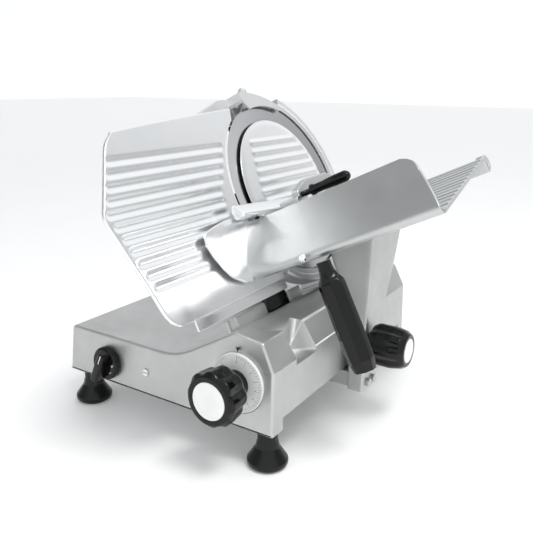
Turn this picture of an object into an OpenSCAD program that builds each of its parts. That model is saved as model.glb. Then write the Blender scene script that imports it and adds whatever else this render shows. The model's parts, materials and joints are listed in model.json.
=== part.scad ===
// Gravity-feed deli slicer with a 250 mm knife.
// Millimetres. +X runs from the slice deck to the food carriage, +Y runs from the operator to the
// back of the machine, +Z is up. The origin is at table level, under the middle of the whole machine.
// Three working frames are used below:
//   machine()      the front left corner of the base casting is at x = 0, y = 0
//   blade_frame()  x is the travel of the carriage, y climbs the knife, z leaves the knife
//   at_knife()     the same, counted from the middle of the cutting edge's plane

/* [Base casting] */
// Width of the base across the front
base_w = 330; // [320:1:345]
// Depth of the base, front to back
base_d = 398; // [392:1:420]
// Height of the bottom edge above the table
base_z = 48; // [46:1:50]
// Height of the flat slice deck above the table
deck_z = 112; // [110:1:116]
// Wall thickness of the casting
wall = 5; // [4:0.5:6]

/* [Knife] */
// Lean of the knife back from upright, in degrees
tilt = 26; // [24:1:28]
// Radius of the knife's cutting edge
knife_r = 125; // [122:1:126]
// Distance of the knife's plane from the base's front left corner at table level
knife_p = 319; // [317:1:322]
// Place of the knife's centre along the carriage travel
knife_y = 226; // [222:1:230]
// Place of the knife's centre up its own plane
knife_s = 178; // [176:1:182]

/* [Slice thickness] */
// Farthest that the gauge plate opens
gauge_travel = 12; // [8:1:12]
// Turn of the index knob from shut to fully open, in degrees
index_turn = 300; // [240:10:320]
// Radius of the graduated ring on the front panel
dial_r = 36; // [32:1:38]
// Radius of the index knob
knob_r = 33; // [28:1:34]

/* [Carriage] */
// Travel towards the operator from the drawn place
travel_front = 145; // [100:5:145]
// Travel towards the back from the drawn place
travel_back = 110; // [80:5:140]
// Length of the food tray along the knife's axis
tray_len = 254; // [240:1:260]
// Length of the hand grip under the tray
grip_len = 132; // [120:1:140]

/* [Feet] */
// Radius of a rubber foot at its widest
foot_r = 25; // [20:1:26]
// Distance of a foot's centre from the edges of the base
foot_inset = 18; // [16:1:22]

/* [Hidden] */
$fn = 64;

aluminium = [0.80, 0.81, 0.83];
bright = [0.88, 0.89, 0.90];
steel = [0.66, 0.67, 0.69];
black = [0.07, 0.07, 0.08];
rubber = [0.11, 0.11, 0.12];
label_white = [0.92, 0.92, 0.90];
stone_grey = [0.50, 0.45, 0.42];
copper = [0.72, 0.42, 0.26];
brass = [0.78, 0.62, 0.30];

// Extremes of the whole machine, which put the origin under its middle
left_x = foot_inset - foot_r;
right_x = 492.8;
front_y = -124;
back_y = base_d - foot_inset + foot_r;
centre_x = (left_x + right_x) / 2;
centre_y = (front_y + back_y) / 2;

// Places on the front panel, the back wall and the arm
switch_x = 72;
switch_z = 76;
screw_x = 138;
screw_z = 78;
gland_x = 60;
gland_z = 78;
clamp_y = 193;
clamp_knob_z = 105;
arm_bolt_y = [192, 208];
arm_bolt_z = 47;

// Clearances
run = 0.05;
gap = 0.4;

// Front outline of the base casting
draft = 3.5;
draft_angle = 3.13;
foot_boss_h = 11;
deck_end = 161;
sweep_r = 100;
ridge_x = 274;
ridge_z = deck_z + 49.5;
slope_end = base_w - 16;
slope_z = ridge_z - 4.8;
bevel_z = ridge_z - 36.8;
sweep_x = deck_end + sweep_r / 2;
sweep_z = deck_z + sweep_r * (1 - cos(30));

// The opening under the right wall that the carriage hooks through
arch_front = 21;
arch_back = 377;
arch_z = 63.5;
arm_x = base_w + 8;

// Carriage rods, under the right side of the base
rod_x = 312;
rod_z = 69;
rod_r = 8;
bar_x = 238;
bar_z = 60;
bar_r = 5;
partition_x = 222;

// Index shaft, through the front panel
index_x = 281.8;
index_z = 103;
shaft_r = 6;
cam_r = 9;
cam_y = 78;
cam_t = 6;
pin_r = 4;

// Gauge slide, in the blade frame
slide_y = 115;
slide_s = -10;
slide_r = 6;
index_p = index_x * cos(tilt) + index_z * sin(tilt);
index_s = index_z * cos(tilt) - index_x * sin(tilt);
pin_p = index_p - cam_r - pin_r - gap;

// Knife head, counted from the knife's centre
motor_y = 76;
motor_s = -58;
motor_gap = sqrt(motor_y * motor_y + motor_s * motor_s);
motor_angle = atan2(motor_s, motor_y);
ring_in = knife_r + 2.6;
ring_out = knife_r + 20;
ring_top = 4.4;
ring_start = -126;
ring_sweep = 192.5;
web_back = -16;
web_front = -11;
case_back = -47;
case_r = 60;
axle_r = 10;
hub_r = 34;
hub_bore = 20.5;
pulley_r = 10;
belt_t = 3;
cover_r = 101.6;
pad_s = 27;
pad_y = [234, 366];

// Food tray, in the blade frame
tray_p = knife_p + 8;
guard_t = 2.8;
fold = [58, 72];
panel_angle = 57.7;
panel_h = 83;
floor_angle = 10.4;
floor_w = 221;
tray_t = 4.5;
grip_y = 60;
grip_p = 429;
rod_y = 291;
rod_s = 103;
pusher_rod_r = 6;

// Sharpener
cap_r = 187;
cap_y = -44;
cap_top = 143;
cap_s = 112;
cap_end = 48;
cap_front = 8;
cap_back = -46;
cap_step = -18;
cap_step_y = -42;
cap_wall = 3;
post_y = -10;
post_z = -34;
clamp_s = 139.9;
clamp_z = -20;
clamp_lean = 50;
stone_y = 14;
stone_s = 113.5;
stone_z = -24;

function turn(p, a) = [p[0] * cos(a) - p[1] * sin(a), p[0] * sin(a) + p[1] * cos(a)];

// ---------- frames and shared shapes ----------

module machine() {
    translate([-centre_x, -centre_y, 0]) children();
}

module blade_frame() {
    machine() rotate([0, -tilt, 0]) rotate([90, 0, 90]) children();
}

module at_knife() {
    blade_frame() translate([knife_y, knife_s, knife_p]) children();
}

// An outline in X and Z carried along Y from y0 to y1
module along_y(y0, y1) {
    translate([0, y1, 0]) rotate([90, 0, 0]) linear_extrude(y1 - y0) children();
}

// An outline in Y and Z carried along X from x0 to x1
module along_x(x0, x1) {
    translate([x0, 0, 0]) rotate([90, 0, 90]) linear_extrude(x1 - x0) children();
}

module tube(r_out, r_in, z0, z1) {
    translate([0, 0, z0]) difference() {
        cylinder(h = z1 - z0, r = r_out);
        translate([0, 0, -1]) cylinder(h = z1 - z0 + 2, r = r_in);
    }
}

module disc(r, z0, z1) {
    translate([0, 0, z0]) cylinder(h = z1 - z0, r = r);
}

module y_disc(r, y0, y1) {
    translate([0, y1, 0]) rotate([90, 0, 0]) cylinder(h = y1 - y0, r = r);
}

module x_disc(r, x0, x1) {
    translate([x0, 0, 0]) rotate([0, 90, 0]) cylinder(h = x1 - x0, r = r);
}

// Outline round two circles of radius ra and rb, with straight sides, like a belt's path
module belt_path(ra, rb, d, angle) {
    lean = acos((ra - rb) / d);
    far = [d * cos(angle), d * sin(angle)];
    circle(ra);
    translate(far) circle(rb);
    polygon([
        turn([ra, 0], angle + lean),
        turn([ra, 0], angle - lean),
        far + turn([rb, 0], angle - lean),
        far + turn([rb, 0], angle + lean)]);
}

// A round grip with scallops round its rim
module scalloped(r, count, cut_r, h) {
    linear_extrude(h) difference() {
        circle(r);
        for (i = [0 : count - 1])
            rotate(i * 360 / count) translate([r + cut_r * 0.45, 0]) circle(cut_r);
    }
}

// A pan head screw: the head's underside is at z = 0 and the shank points to -Z
module pan_screw(head_r, head_h, shank_r, shank_l) {
    difference() {
        cylinder(h = head_h, r = head_r);
        translate([-head_r, -0.6, head_h * 0.6]) cube([2 * head_r, 1.2, head_h]);
    }
    translate([0, 0, -shank_l]) cylinder(h = shank_l + 0.01, r = shank_r);
}

// ---------- base ----------

module base_outline(t) {
    difference() {
        polygon([
            [-3 + t, t == 0 ? base_z : base_z - 2],
            [t, deck_z - t],
            [deck_end, deck_z - t],
            [sweep_x + t / 2, sweep_z - t],
            [ridge_x, ridge_z - 1.15 * t],
            [slope_end - t / 2, slope_z - t],
            [base_w - t, bevel_z - t / 4],
            [base_w + 1 - t, t == 0 ? base_z : base_z - 2]]);
        translate([deck_end, deck_z + sweep_r]) circle(sweep_r + t, $fn = 120);
    }
}

module foot_places() {
    for (x = [foot_inset, base_w - foot_inset])
        for (y = [foot_inset, base_d - foot_inset])
            translate([x, y, 0]) children();
}

module plate_screw_places() {
    for (x = [42, 205])
        for (y = [26, base_d / 2, base_d - 26])
            translate([x, y, 0]) children();
}

module housing_bolt_places() {
    for (y = [pad_y[0] + 12, pad_y[1] - 12])
        for (p = [knife_p + case_back + 9, knife_p + web_back - 8])
            translate([y, 0, p]) children();
}

module base_ribs() {
    intersection() {
        union() {
            translate([partition_x, wall - 1, base_z + 1]) cube([4, base_d - 2 * wall + 2, 120]);
            translate([wall - 1, base_d / 2 - 32, deck_z - 26]) cube([partition_x - wall, 4, 60]);
            translate([120, wall - 1, deck_z - 22]) cube([4, base_d - 2 * wall + 2, 60]);
        }
        along_y(wall - 2, base_d - wall + 2) base_outline(0.5);
    }
}

module base_bosses() {
    foot_places() disc(13.5, base_z, base_z + foot_boss_h);
    intersection() {
        plate_screw_places() disc(5, base_z + 4, deck_z + 20);
        along_y(1, base_d - 1) base_outline(0.5);
    }
    for (y = [wall - 0.5, base_d - wall - 11.5]) {
        translate([rod_x, 0, rod_z]) y_disc(13, y, y + 12);
        translate([bar_x, 0, bar_z]) y_disc(9.5, y, y + 12);
    }
    translate([index_x, 0, index_z]) y_disc(12, wall - 0.5, 24);
}

// Seats and bosses that follow the slope of the knife
module base_slope_parts() {
    rotate([0, -tilt, 0]) rotate([90, 0, 90]) {
        translate([pad_y[0], 4, knife_p - 58]) cube([pad_y[1] - pad_y[0], pad_s - 4, 44]);
        translate([6, 8, knife_p - 14]) cube([170, 32, 4]);
        for (p = [[knife_p - 69, knife_p - 54], [knife_p + 17, knife_p + 30]])
            translate([slide_y, slide_s, 0]) disc(11.5, p[0], p[1]);
        translate([slide_y - 6, slide_s + 6, knife_p - 69]) cube([12, 22, 15]);
        translate([slide_y - 6, slide_s + 4, knife_p + 17]) cube([12, 11, 10]);
    }
}

module base_slope_cuts() {
    rotate([0, -tilt, 0]) rotate([90, 0, 90]) {
        translate([88, -4, knife_p - 34]) cube([54, 60, 31]);
        translate([12, 28, knife_p - 20]) cube([12, 20, 16]);
        translate([slide_y, slide_s, 0]) disc(slide_r + 0.02, knife_p - 67, knife_p + 28);
        housing_bolt_places() rotate([90, 0, 0]) translate([0, 0, -pad_s - 5]) cylinder(h = 60, r = 3.2);
    }
}

// Frame of the finger notch in the right bevel
module at_notch() {
    translate([base_w - 15, 46, bevel_z - 8]) rotate([0, 0, 22]) children();
}

// Walls that close the finger notch off from the inside, clear of the index cam
module notch_walls() {
    difference() {
        intersection() {
            at_notch() translate([-3, -3, -2.5]) cube([63, 50, 60]);
            along_y(1, base_d - 1) base_outline(0.5);
        }
        translate([index_x, 0, index_z]) y_disc(cam_r + gauge_travel + 0.6, cam_y - 3, cam_y + cam_t + 3);
    }
}

module base_casting() color(aluminium) machine() {
    difference() {
        union() {
            difference() {
                along_y(-draft, base_d) base_outline(0);
                along_y(wall, base_d - wall) base_outline(wall);
            }
            base_ribs();
            base_bosses();
            base_slope_parts();
            notch_walls();
        }
        // front wall leans in from its bottom edge
        translate([-20, 0, deck_z]) rotate([-draft_angle, 0, 0])
            translate([0, -40, -120]) cube([400, 40, 260]);
        // the opening that the carriage hooks through
        translate([base_w - 12, arch_front, base_z - 10])
            cube([30, arch_back - arch_front, arch_z - base_z + 10]);
        at_notch() cube([60, 44, 60]);
        base_slope_cuts();
        foot_places() disc(3.05, base_z - 1, base_z + foot_boss_h - 2);
        plate_screw_places() disc(1.8, base_z, base_z + 16);
        for (y = [wall + 1, base_d - wall - 13]) {
            translate([rod_x, 0, rod_z]) y_disc(rod_r + 0.02, y, y + 12);
            translate([bar_x, 0, bar_z]) y_disc(bar_r + 0.02, y, y + 12);
        }
        translate([index_x, 0, index_z]) {
            y_disc(shaft_r + run, -10, 30);
            y_disc(dial_r + 1, -10, 1.6);
        }
        translate([switch_x, 0, switch_z]) y_disc(8.2, -10, 20);
        translate([screw_x, 0, screw_z]) y_disc(2.1, -10, 20);
        translate([screw_x, 0, screw_z]) y_disc(5.4, -10, -1.2);
        translate([gland_x, 0, gland_z]) y_disc(8.1, base_d - 20, base_d + 5);
    }
}

module bottom_plate() color(steel) machine() {
    difference() {
        translate([wall + 2, wall + 2, base_z + 2])
            cube([partition_x - wall - 3, base_d - 2 * wall - 4, 1.6]);
        for (y = [0, base_d - 34])
            translate([0, y, base_z]) cube([34, 34, 8]);
        plate_screw_places() disc(2.1, base_z, base_z + 8);
        for (i = [0 : 7])
            translate([70 + 13 * i, 240, base_z]) cube([5, 90, 8]);
    }
}

module bottom_plate_screws() color(steel) machine() {
    plate_screw_places() translate([0, 0, base_z + 1.9]) mirror([0, 0, 1]) pan_screw(3.4, 2, 1.7, 13);
}

module foot() color(rubber) {
    difference() {
        rotate_extrude() polygon([
            [0, 0], [foot_r - 4, 0], [foot_r - 1, 2], [foot_r, 6], [foot_r - 1.5, 11],
            [foot_r - 6, 17], [foot_r - 10.5, 25], [foot_r - 12.5, 33], [foot_r - 13, 40],
            [foot_r - 12, base_z - 0.05], [0, base_z - 0.05]]);
        disc(8, -1, 18);
        disc(3.3, 10, base_z + 1);
    }
}

module front_feet() machine() {
    for (x = [foot_inset, base_w - foot_inset])
        translate([x, foot_inset, 0]) foot();
}

module rear_feet() machine() {
    for (x = [foot_inset, base_w - foot_inset])
        translate([x, base_d - foot_inset, 0]) foot();
}

module foot_bolts() color(steel) machine() {
    foot_places() {
        disc(6.5, 11, 17.95);
        disc(3, 17.9, base_z + foot_boss_h - 2.2);
    }
}

module cable_gland() color(black) machine() translate([gland_x, 0, gland_z]) {
    difference() {
        union() {
            y_disc(8, base_d - 14, base_d + 0.02);
            y_disc(12, base_d - wall - 4, base_d - wall - 0.05);
            y_disc(12, base_d + 0.02, base_d + 3);
        }
        y_disc(4, base_d - 20, base_d + 10);
    }
}

module panel_screw() color(steel) machine() translate([screw_x, -1.22, screw_z]) {
    rotate([90, 0, 0]) pan_screw(4.6, 2.2, 2, 14);
}

module dial_pointer() color(black) machine() translate([index_x, -0.4, index_z + dial_r + 2.5]) {
    rotate([90, 0, 0]) translate([0, 0, -0.8]) linear_extrude(2) polygon([[-2.2, 4.5], [2.2, 4.5], [0, 0]]);
}

module switch_body() color(black) machine() translate([switch_x, 0, switch_z]) {
    difference() {
        union() {
            translate([-16, wall + 0.6, -16]) cube([32, 30, 32]);
            y_disc(8, -0.4, wall + 1);
        }
        y_disc(4.1, -5, 25);
    }
    for (z = [-10, 0, 10])
        translate([-4, wall + 30.55, z - 3]) cube([8, 8, 1.2]);
}

module switch_knob() color(black) machine() translate([switch_x, 0, switch_z]) {
    y_disc(22, -12, -3.6);
    rotate([0, 24, 0]) difference() {
        translate([-6, -24.5, -25]) cube([12, 12.52, 46]);
        for (side = [-1, 1])
            translate([side * 9.5, -22, 0]) rotate([0, 0, side * -16])
                translate([-3, -12, -30]) cube([6, 24, 60]);
    }
    y_disc(4, -3.65, 22);
}

module run_capacitor() color(label_white) machine() translate([150, 60, 84]) {
    x_disc(15, 0, 58);
    for (z = [-5, 5])
        translate([58 - 0.05, -3, z]) cube([8, 6, 0.8]);
}

// ---------- knife head ----------

module knife_housing() color(aluminium) at_knife() {
    difference() {
        union() {
            // web behind the knife, and the ring guard round it with its step
            rotate([0, 0, ring_start]) rotate_extrude(angle = ring_sweep, $fn = 180) polygon([
                [50, web_back], [50, web_front], [ring_in, web_front], [ring_in, ring_top - 2.6],
                [ring_in + 0.8, ring_top - 2.2], [ring_in + 6.5, ring_top - 2.2], [ring_in + 8.5, ring_top],
                [ring_out - 3, ring_top], [ring_out - 0.8, ring_top - 0.9], [ring_out, ring_top - 3],
                [ring_out, web_back]]);
            translate([0, 0, case_back]) linear_extrude(web_front - case_back - 0.6)
                belt_path(case_r, case_r, motor_gap, motor_angle);
            // pedestal down to the seat on the base
            translate([pad_y[0] - knife_y, pad_s - knife_s, case_back])
                cube([pad_y[1] - pad_y[0], 58, web_back - case_back + 2]);
            // tower that carries the sharpener
            translate([post_y - 15, 50, post_z - 9]) cube([30, 54, 17]);
            disc(20, case_back - 13, case_back + 0.5);
        }
        // belt chamber
        translate([0, 0, case_back + 6]) linear_extrude(web_back - case_back - 6)
            belt_path(case_r - 6, case_r - 6, motor_gap, motor_angle);
        translate([motor_y, motor_s, 0]) disc(40, case_back - 1, case_back + 7);
        disc(39, web_back - 1, web_front + 1);
        disc(axle_r + 0.02, case_back - 20, case_back + 8);
        // pocket in the pedestal
        translate([24, pad_s - knife_s - 1, case_back + 6]) cube([100, 25, 19]);
        translate([0, 0, -knife_p]) translate([-knife_y, -knife_s, 0])
            housing_bolt_places() rotate([90, 0, 0])
                translate([0, 0, -pad_s - 24]) cylinder(h = 30, r = 3.05);
        translate([post_y, 0, post_z]) y_disc(5.02, 84, 112);
    }
}

module housing_bolts() color(steel) blade_frame() {
    housing_bolt_places() rotate([90, 0, 0]) {
        translate([0, 0, -pad_s - 20]) cylinder(h = pad_s + 16, r = 3);
        translate([0, 0, -3.95]) cylinder(h = 5, r = 5.2);
    }
}

module knife_axle() color(steel) at_knife() {
    tube(axle_r, 5.2, case_back - 13, -8);
}

module bearing_places() {
    for (z = [-38, -20])
        translate([0, 0, z]) children();
}

module bearing_inner_races() color(steel) at_knife() bearing_places() difference() {
    tube(13.4, axle_r + 0.01, 0, 8);
    translate([0, 0, 4]) rotate_extrude() translate([15.2, 0]) circle(2.55);
}

module bearing_balls() color(bright) at_knife() bearing_places() {
    for (i = [0 : 8])
        rotate(i * 40) translate([15.2, 0, 4]) sphere(2.5);
}

module bearing_outer_races() color(steel) at_knife() bearing_places() difference() {
    tube(hub_bore - 0.01, 17, 0, 8);
    translate([0, 0, 4]) rotate_extrude() translate([15.2, 0]) circle(2.55);
}

module screw_circle(r, count) {
    for (i = [0 : count - 1])
        rotate(i * 360 / count) translate([r, 0, 0]) children();
}

module knife_hub() color(steel) at_knife() difference() {
    union() {
        difference() {
            disc(hub_r, -40.5, -9.5);
            for (i = [0 : 5])
                translate([0, 0, -37.6 + 2.6 * i]) rotate_extrude() polygon([
                    [hub_r - 1.6, 0.8], [hub_r + 1, 0], [hub_r + 1, 1.6]]);
        }
        disc(42, -9.6, -6);
    }
    disc(hub_bore, -41, -5);
    screw_circle(31, 4) disc(2.6, -20, -5);
}

module knife() color(bright) at_knife() difference() {
    rotate_extrude($fn = 180) polygon([
        [22, -6], [22, -3.4], [97, -3.4], [105, -2.2], [knife_r, -0.2], [knife_r, -0.5],
        [105, -4.6], [97, -6]]);
    screw_circle(31, 4) disc(2.7, -8, 0);
}

module knife_screws() color(steel) at_knife() screw_circle(31, 4) {
    disc(2.5, -18, -3.3);
    disc(4.6, -3.35, -1.6);
}

module knife_cover() color(bright) at_knife() {
    intersection() {
        union() {
            disc(cover_r, 0.6, 2.8);
            for (i = [-5 : 5])
                translate([-66 + abs(i) * 3, i * 14.2 - 3 - 1.4, 2.7]) cube([190, 2.8, 1.1]);
        }
        disc(cover_r, 0, 5);
    }
    difference() {
        disc(14, -7.9, 0.65);
        disc(4.9, -12, -2);
    }
}

module cover_tie_rod() color(steel) at_knife() {
    disc(4.85, -84, -2.1);
}

module cover_knob() color(black) at_knife() difference() {
    union() {
        translate([0, 0, -90]) scalloped(22, 6, 7, 18);
        disc(12, -72.05, case_back - 13.3);
    }
    disc(4.87, -84.1, -50);
}

module drive_belt() color(black) at_knife() translate([0, 0, -37.4]) linear_extrude(14.6) difference() {
    belt_path(hub_r + gap + belt_t, pulley_r + gap + belt_t, motor_gap, motor_angle);
    belt_path(hub_r + gap, pulley_r + gap, motor_gap, motor_angle);
}

module at_motor() at_knife() translate([motor_y, motor_s, 0]) children();

module motor_can() color(steel) at_motor() difference() {
    union() {
        disc(54, case_back - 6, case_back - 0.05);
        disc(39.6, case_back - 0.1, case_back + 4);
        disc(47, case_back - 96, case_back - 5.9);
        for (i = [0 : 17])
            rotate(i * 20) translate([46, -1, case_back - 92]) cube([3.6, 2, 84]);
    }
    disc(44, case_back - 92, case_back - 8);
    disc(8.2, case_back - 100, case_back + 8);
}

module motor_rotor() color(copper) at_motor() {
    disc(5, case_back - 108, -18);
    disc(36, case_back - 80, case_back - 22);
    disc(42.5, case_back - 70, case_back - 32);
}

module motor_pulley() color(steel) at_motor() difference() {
    disc(pulley_r, -40.5, -21);
    disc(5.02, -45, -15);
    for (i = [0 : 5])
        translate([0, 0, -37.6 + 2.6 * i]) rotate_extrude() polygon([
            [pulley_r - 1.6, 0.8], [pulley_r + 1, 0], [pulley_r + 1, 1.6]]);
}

module motor_fan() color(black) at_motor() translate([0, 0, case_back - 107]) difference() {
    union() {
        disc(10, 0, 8);
        disc(44, 0, 1.5);
        for (i = [0 : 8])
            rotate(i * 40) translate([9, -0.8, 1.4]) cube([34, 1.6, 6.6]);
    }
    disc(5.02, -1, 10);
}

module motor_shroud() color(aluminium) at_motor() difference() {
    disc(case_r, case_back - 116, case_back - 0.05);
    disc(case_r - 4, case_back - 117, case_back);
    // breathing slots along the top
    for (a = [40 : 14 : 140])
        rotate(a) translate([case_r - 8, -1.6, case_back - 84]) cube([12, 3.2, 56]);
}

module motor_end_cap() color(black) at_motor() difference() {
    union() {
        disc(case_r, case_back - 122, case_back - 116.05);
        tube(case_r - 4.1, case_r - 6.5, case_back - 117, case_back - 110);
    }
    for (i = [0 : 4])
        for (j = [0 : 5 + 4 * i])
            rotate(j * 360 / (6 + 4 * i)) translate([12 + 9 * i, 0, 0])
                disc(2.6, case_back - 125, case_back - 115);
}

// ---------- sharpener ----------

// Outline of the cap: straight on the left, an arc over the knife, square at the right end
module cap_outline(inset) {
    intersection() {
        translate([cap_y, cap_top - cap_r]) circle(cap_r - inset, $fn = 180);
        polygon([
            [-147 + 2.95 * inset, cap_s], [-62, cap_top - 0.5 - 1.06 * inset], [-62, cap_top + 10],
            [cap_end - inset, cap_top + 10], [cap_end - inset, cap_s]]);
    }
}

module sharpener_cover() color(aluminium) at_knife() difference() {
    union() {
        difference() {
            translate([0, 0, cap_back]) linear_extrude(cap_front - cap_back) cap_outline(0);
            // the left part stays behind the thickness plate
            translate([-160, 100, cap_step]) cube([160 + cap_step_y, 60, 60]);
            translate([0, 0, cap_back + cap_wall])
                linear_extrude(cap_step - cap_back - 2 * cap_wall) cap_hollow();
            intersection() {
                translate([0, 0, cap_back + cap_wall])
                    linear_extrude(cap_front - cap_back - 2 * cap_wall) cap_hollow();
                translate([cap_step_y + cap_wall, 90, cap_back]) cube([200, 80, 80]);
            }
            // the notch beside the step, and room for the knife and its cover
            translate([0, 0, cap_step]) linear_extrude(40)
                polygon([[-62, 100], [-31, 116], [-42, 132], [-62, 132]]);
            disc(knife_r + 2.2, -9, 1.5);
            disc(121, 1.4, cap_front + 1);
        }
        // socket for the post, and a boss for the clamp screw
        translate([post_y, 0, post_z]) y_disc(9.6, cap_s - 2, cap_top - 3.5);
        at_clamp() disc(6.5, -8, 6.4);
    }
    translate([post_y, 0, post_z]) y_disc(5 + run, 100, cap_top - 4.5);
    at_clamp() disc(2.5 + run, -12, 8);
    translate([stone_y, stone_s, 0]) disc(3 + run, cap_back - 2, cap_back + 6);
}

module cap_hollow() {
    cap_outline(cap_wall);
    translate([-138, 100]) square([cap_end - cap_wall + 138, cap_s - 99.5]);
}

module sharpener_post() color(steel) at_knife() translate([post_y, 0, post_z]) {
    y_disc(5, 84.1, cap_top - 5);
}

// Frame of the clamp screw: z climbs out of the cap, leaning towards the food
module at_clamp() {
    translate([post_y, clamp_s, clamp_z]) rotate([clamp_lean - 90, 0, 0]) children();
}

module sharpener_knob() color(bright) at_knife() at_clamp() {
    disc(2.5, -9.3, 6.6);
    disc(4.8, 6.5, 9.6);
    translate([0, 0, 9.5]) scalloped(6.4, 12, 1.2, 9);
    disc(5.2, 18.4, 20.5);
}

module at_stone() at_knife() translate([stone_y, stone_s, stone_z]) children();

module stone_button() color(black) at_stone() {
    disc(9, -42, -31);
    disc(3, -31.05, 12);
    disc(4.6, 10.3, 12.05);
}

module grinding_stone() color(stone_grey) at_stone() tube(12, 3 + run, 0, 10);

// ---------- slice thickness ----------

module plate_outline() {
    difference() {
        polygon([
            [-124, 190], [-123, 182], [-99, 105], [-91, 74], [-84, 62], [-72, 56],
            [138, 56], [138, 84], [112, 178], [160, 301], [90, 295.5], [-8, 287], [-68, 281],
            [-80, 277], [-86, 270]]);
        translate([knife_y, knife_s]) circle(knife_r + 2.8, $fn = 180);
    }
}

// The grooves follow the plate's slanted front edge, and get shorter towards the bottom
function groove_start(i) = i < 4 ? -94 - 6 * i : -136.4 + 4.6 * i;
function groove_len(i) = 196 - 0.62 * i * i;

module gauge_plate() color(bright) blade_frame() difference() {
    union() {
        translate([0, 0, knife_p - 5]) linear_extrude(5) plate_outline();
        // lip bent back along the bottom edge
        translate([-50, 43, knife_p - 5]) cube([188, 13.5, 2.5]);
        translate([0, 0, knife_p - 9]) for (y = [99, 131]) translate([y, 66, 0]) cylinder(h = 5, r = 4.5);
    }
    // grooves along the carriage travel
    for (i = [0 : 10])
        translate([groove_start(i), 246 - 14.3 * i, knife_p - 1.1]) {
            cube([groove_len(i), 3.2, 2]);
            translate([0, 1.6, 0]) cylinder(h = 2, r = 1.6);
            translate([groove_len(i), 1.6, 0]) cylinder(h = 2, r = 1.6);
        }
}

module gauge_bracket() color(black) blade_frame() difference() {
    union() {
        translate([92, -4, knife_p - 17]) cube([46, 82, 7.9]);
        for (y = [96, 112, 128])
            translate([y, 2, knife_p - 18.5]) cube([6, 60, 2]);
    }
    for (y = [99, 131])
        translate([y, 66, knife_p - 20]) cylinder(h = 20, r = 2.1);
}

module gauge_slider() color(steel) blade_frame() {
    difference() {
        union() {
            translate([slide_y - 17, slide_s - 15, knife_p - 22]) cube([34, 20.9, 22]);
            translate([slide_y - 15, index_s - 8, pin_p - 6]) cube([8, 16.1, 32]);
        }
        translate([slide_y, slide_s, 0]) disc(slide_r + run, knife_p - 30, knife_p + 10);
    }
    translate([0, index_s, pin_p]) x_disc(pin_r, cam_y - 2, slide_y - 10);
}

module gauge_rod() color(steel) blade_frame() translate([slide_y, slide_s, 0]) {
    disc(slide_r, knife_p - 66.9, knife_p + 27.9);
}

// Radius of the cam: it grows evenly with the turn, holds, drops, and is flat again before the start
function cam_radius(a) =
    a <= index_turn ? cam_r + gauge_travel * a / index_turn :
    a <= index_turn + 12 ? cam_r + gauge_travel :
    a <= 335 ? cam_r + gauge_travel * (335 - a) / (323 - index_turn) : cam_r;

function cam_outline(steps) = [for (i = [0 : steps - 1])
    let (a = i * 360 / steps) turn([cam_radius(a), 0], a)];

module index_cam() color(steel) machine() translate([index_x, cam_y + cam_t, index_z]) {
    rotate([90, 0, 0]) rotate(180 + tilt) mirror([0, 1, 0]) linear_extrude(cam_t) polygon(cam_outline(120));
    y_disc(shaft_r, -cam_y - cam_t - 30, -cam_t + 0.05);
    y_disc(shaft_r, -0.05, 4);
}

module dial_ring() color(label_white) machine() translate([index_x, 0, index_z]) rotate([90, 0, 0]) {
    tube(dial_r, shaft_r + 0.02, -1.2, 3.4);
}

module index_knob() color(black) machine() translate([index_x, 0, index_z]) rotate([90, 0, 0]) difference() {
    union() {
        disc(17, 3.45, 20);
        translate([0, 0, 19]) scalloped(knob_r - 1.5, 8, 10, 12);
        translate([0, 0, 30.9]) scalloped(knob_r, 8, 10, 23);
        disc(knob_r - 6, 53.8, 57);
    }
    disc(shaft_r + 0.02, -1, 30.05);
    disc(22, 55, 60);
}

module index_disc() color(label_white) machine() translate([index_x, 0, index_z]) rotate([90, 0, 0]) {
    disc(21.9, 55.02, 57.4);
}

// ---------- carriage ----------

module carriage_rod() color(steel) machine() translate([rod_x, 0, rod_z]) {
    y_disc(rod_r, wall + 1.1, base_d - wall - 1.1);
}

module guide_bar() color(steel) machine() translate([bar_x, 0, bar_z]) {
    y_disc(bar_r, wall + 1.1, base_d - wall - 1.1);
}

module carriage_block() color(aluminium) machine() difference() {
    union() {
        translate([rod_x, 0, rod_z]) y_disc(12, 181, 221);
        translate([bar_x - 10, 186, bar_z - 9]) cube([rod_x - bar_x, 28, 15]);
        translate([rod_x - 12, 183, 38]) cube([24, 36, 30]);
        translate([rod_x, 183, 38]) cube([arm_x - rod_x, 36, 21]);
    }
    translate([rod_x, 0, rod_z]) y_disc(rod_r + run, 170, 230);
    translate([bar_x, 0, bar_z]) y_disc(bar_r + run, 170, 230);
    for (y = arm_bolt_y)
        translate([0, y, arm_bolt_z]) x_disc(3.05, base_w - 8, base_w + 12);
}

// Side faces of the arm, seen from the front and from the right
module arm_front_outline() {
    polygon([
        [arm_x, 37], [arm_x, 60], [337, 88], [334.5, 122], [319, 167], [297, 212], [262, 296],
        [base_w + 30, 296], [base_w + 31, 37]]);
}

module arm_side_outline(t) {
    polygon([
        [175 + t, 37 + 2.4 * t], [183 + t, 124], [196 + t, 217], [207 + t, 300],
        [324 - t, 300], [297 - t, 239], [276 - t, 195], [248 - t, 147], [231 - t, 90],
        [225 - t, 37 + 2.4 * t]]);
}

// Everything above the underside of the tray, and above its far lip and the pusher's rod
module above_arm() {
    rotate([0, -tilt, 0]) rotate([90, 0, 90]) translate(fold) rotate([0, 0, floor_angle]) {
        translate([-120, -tray_t - 0.02, 200]) cube([500, 300, 500]);
        translate([floor_w - tray_t - gap, -26, 200]) cube([300, 100, 500]);
    }
}

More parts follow.
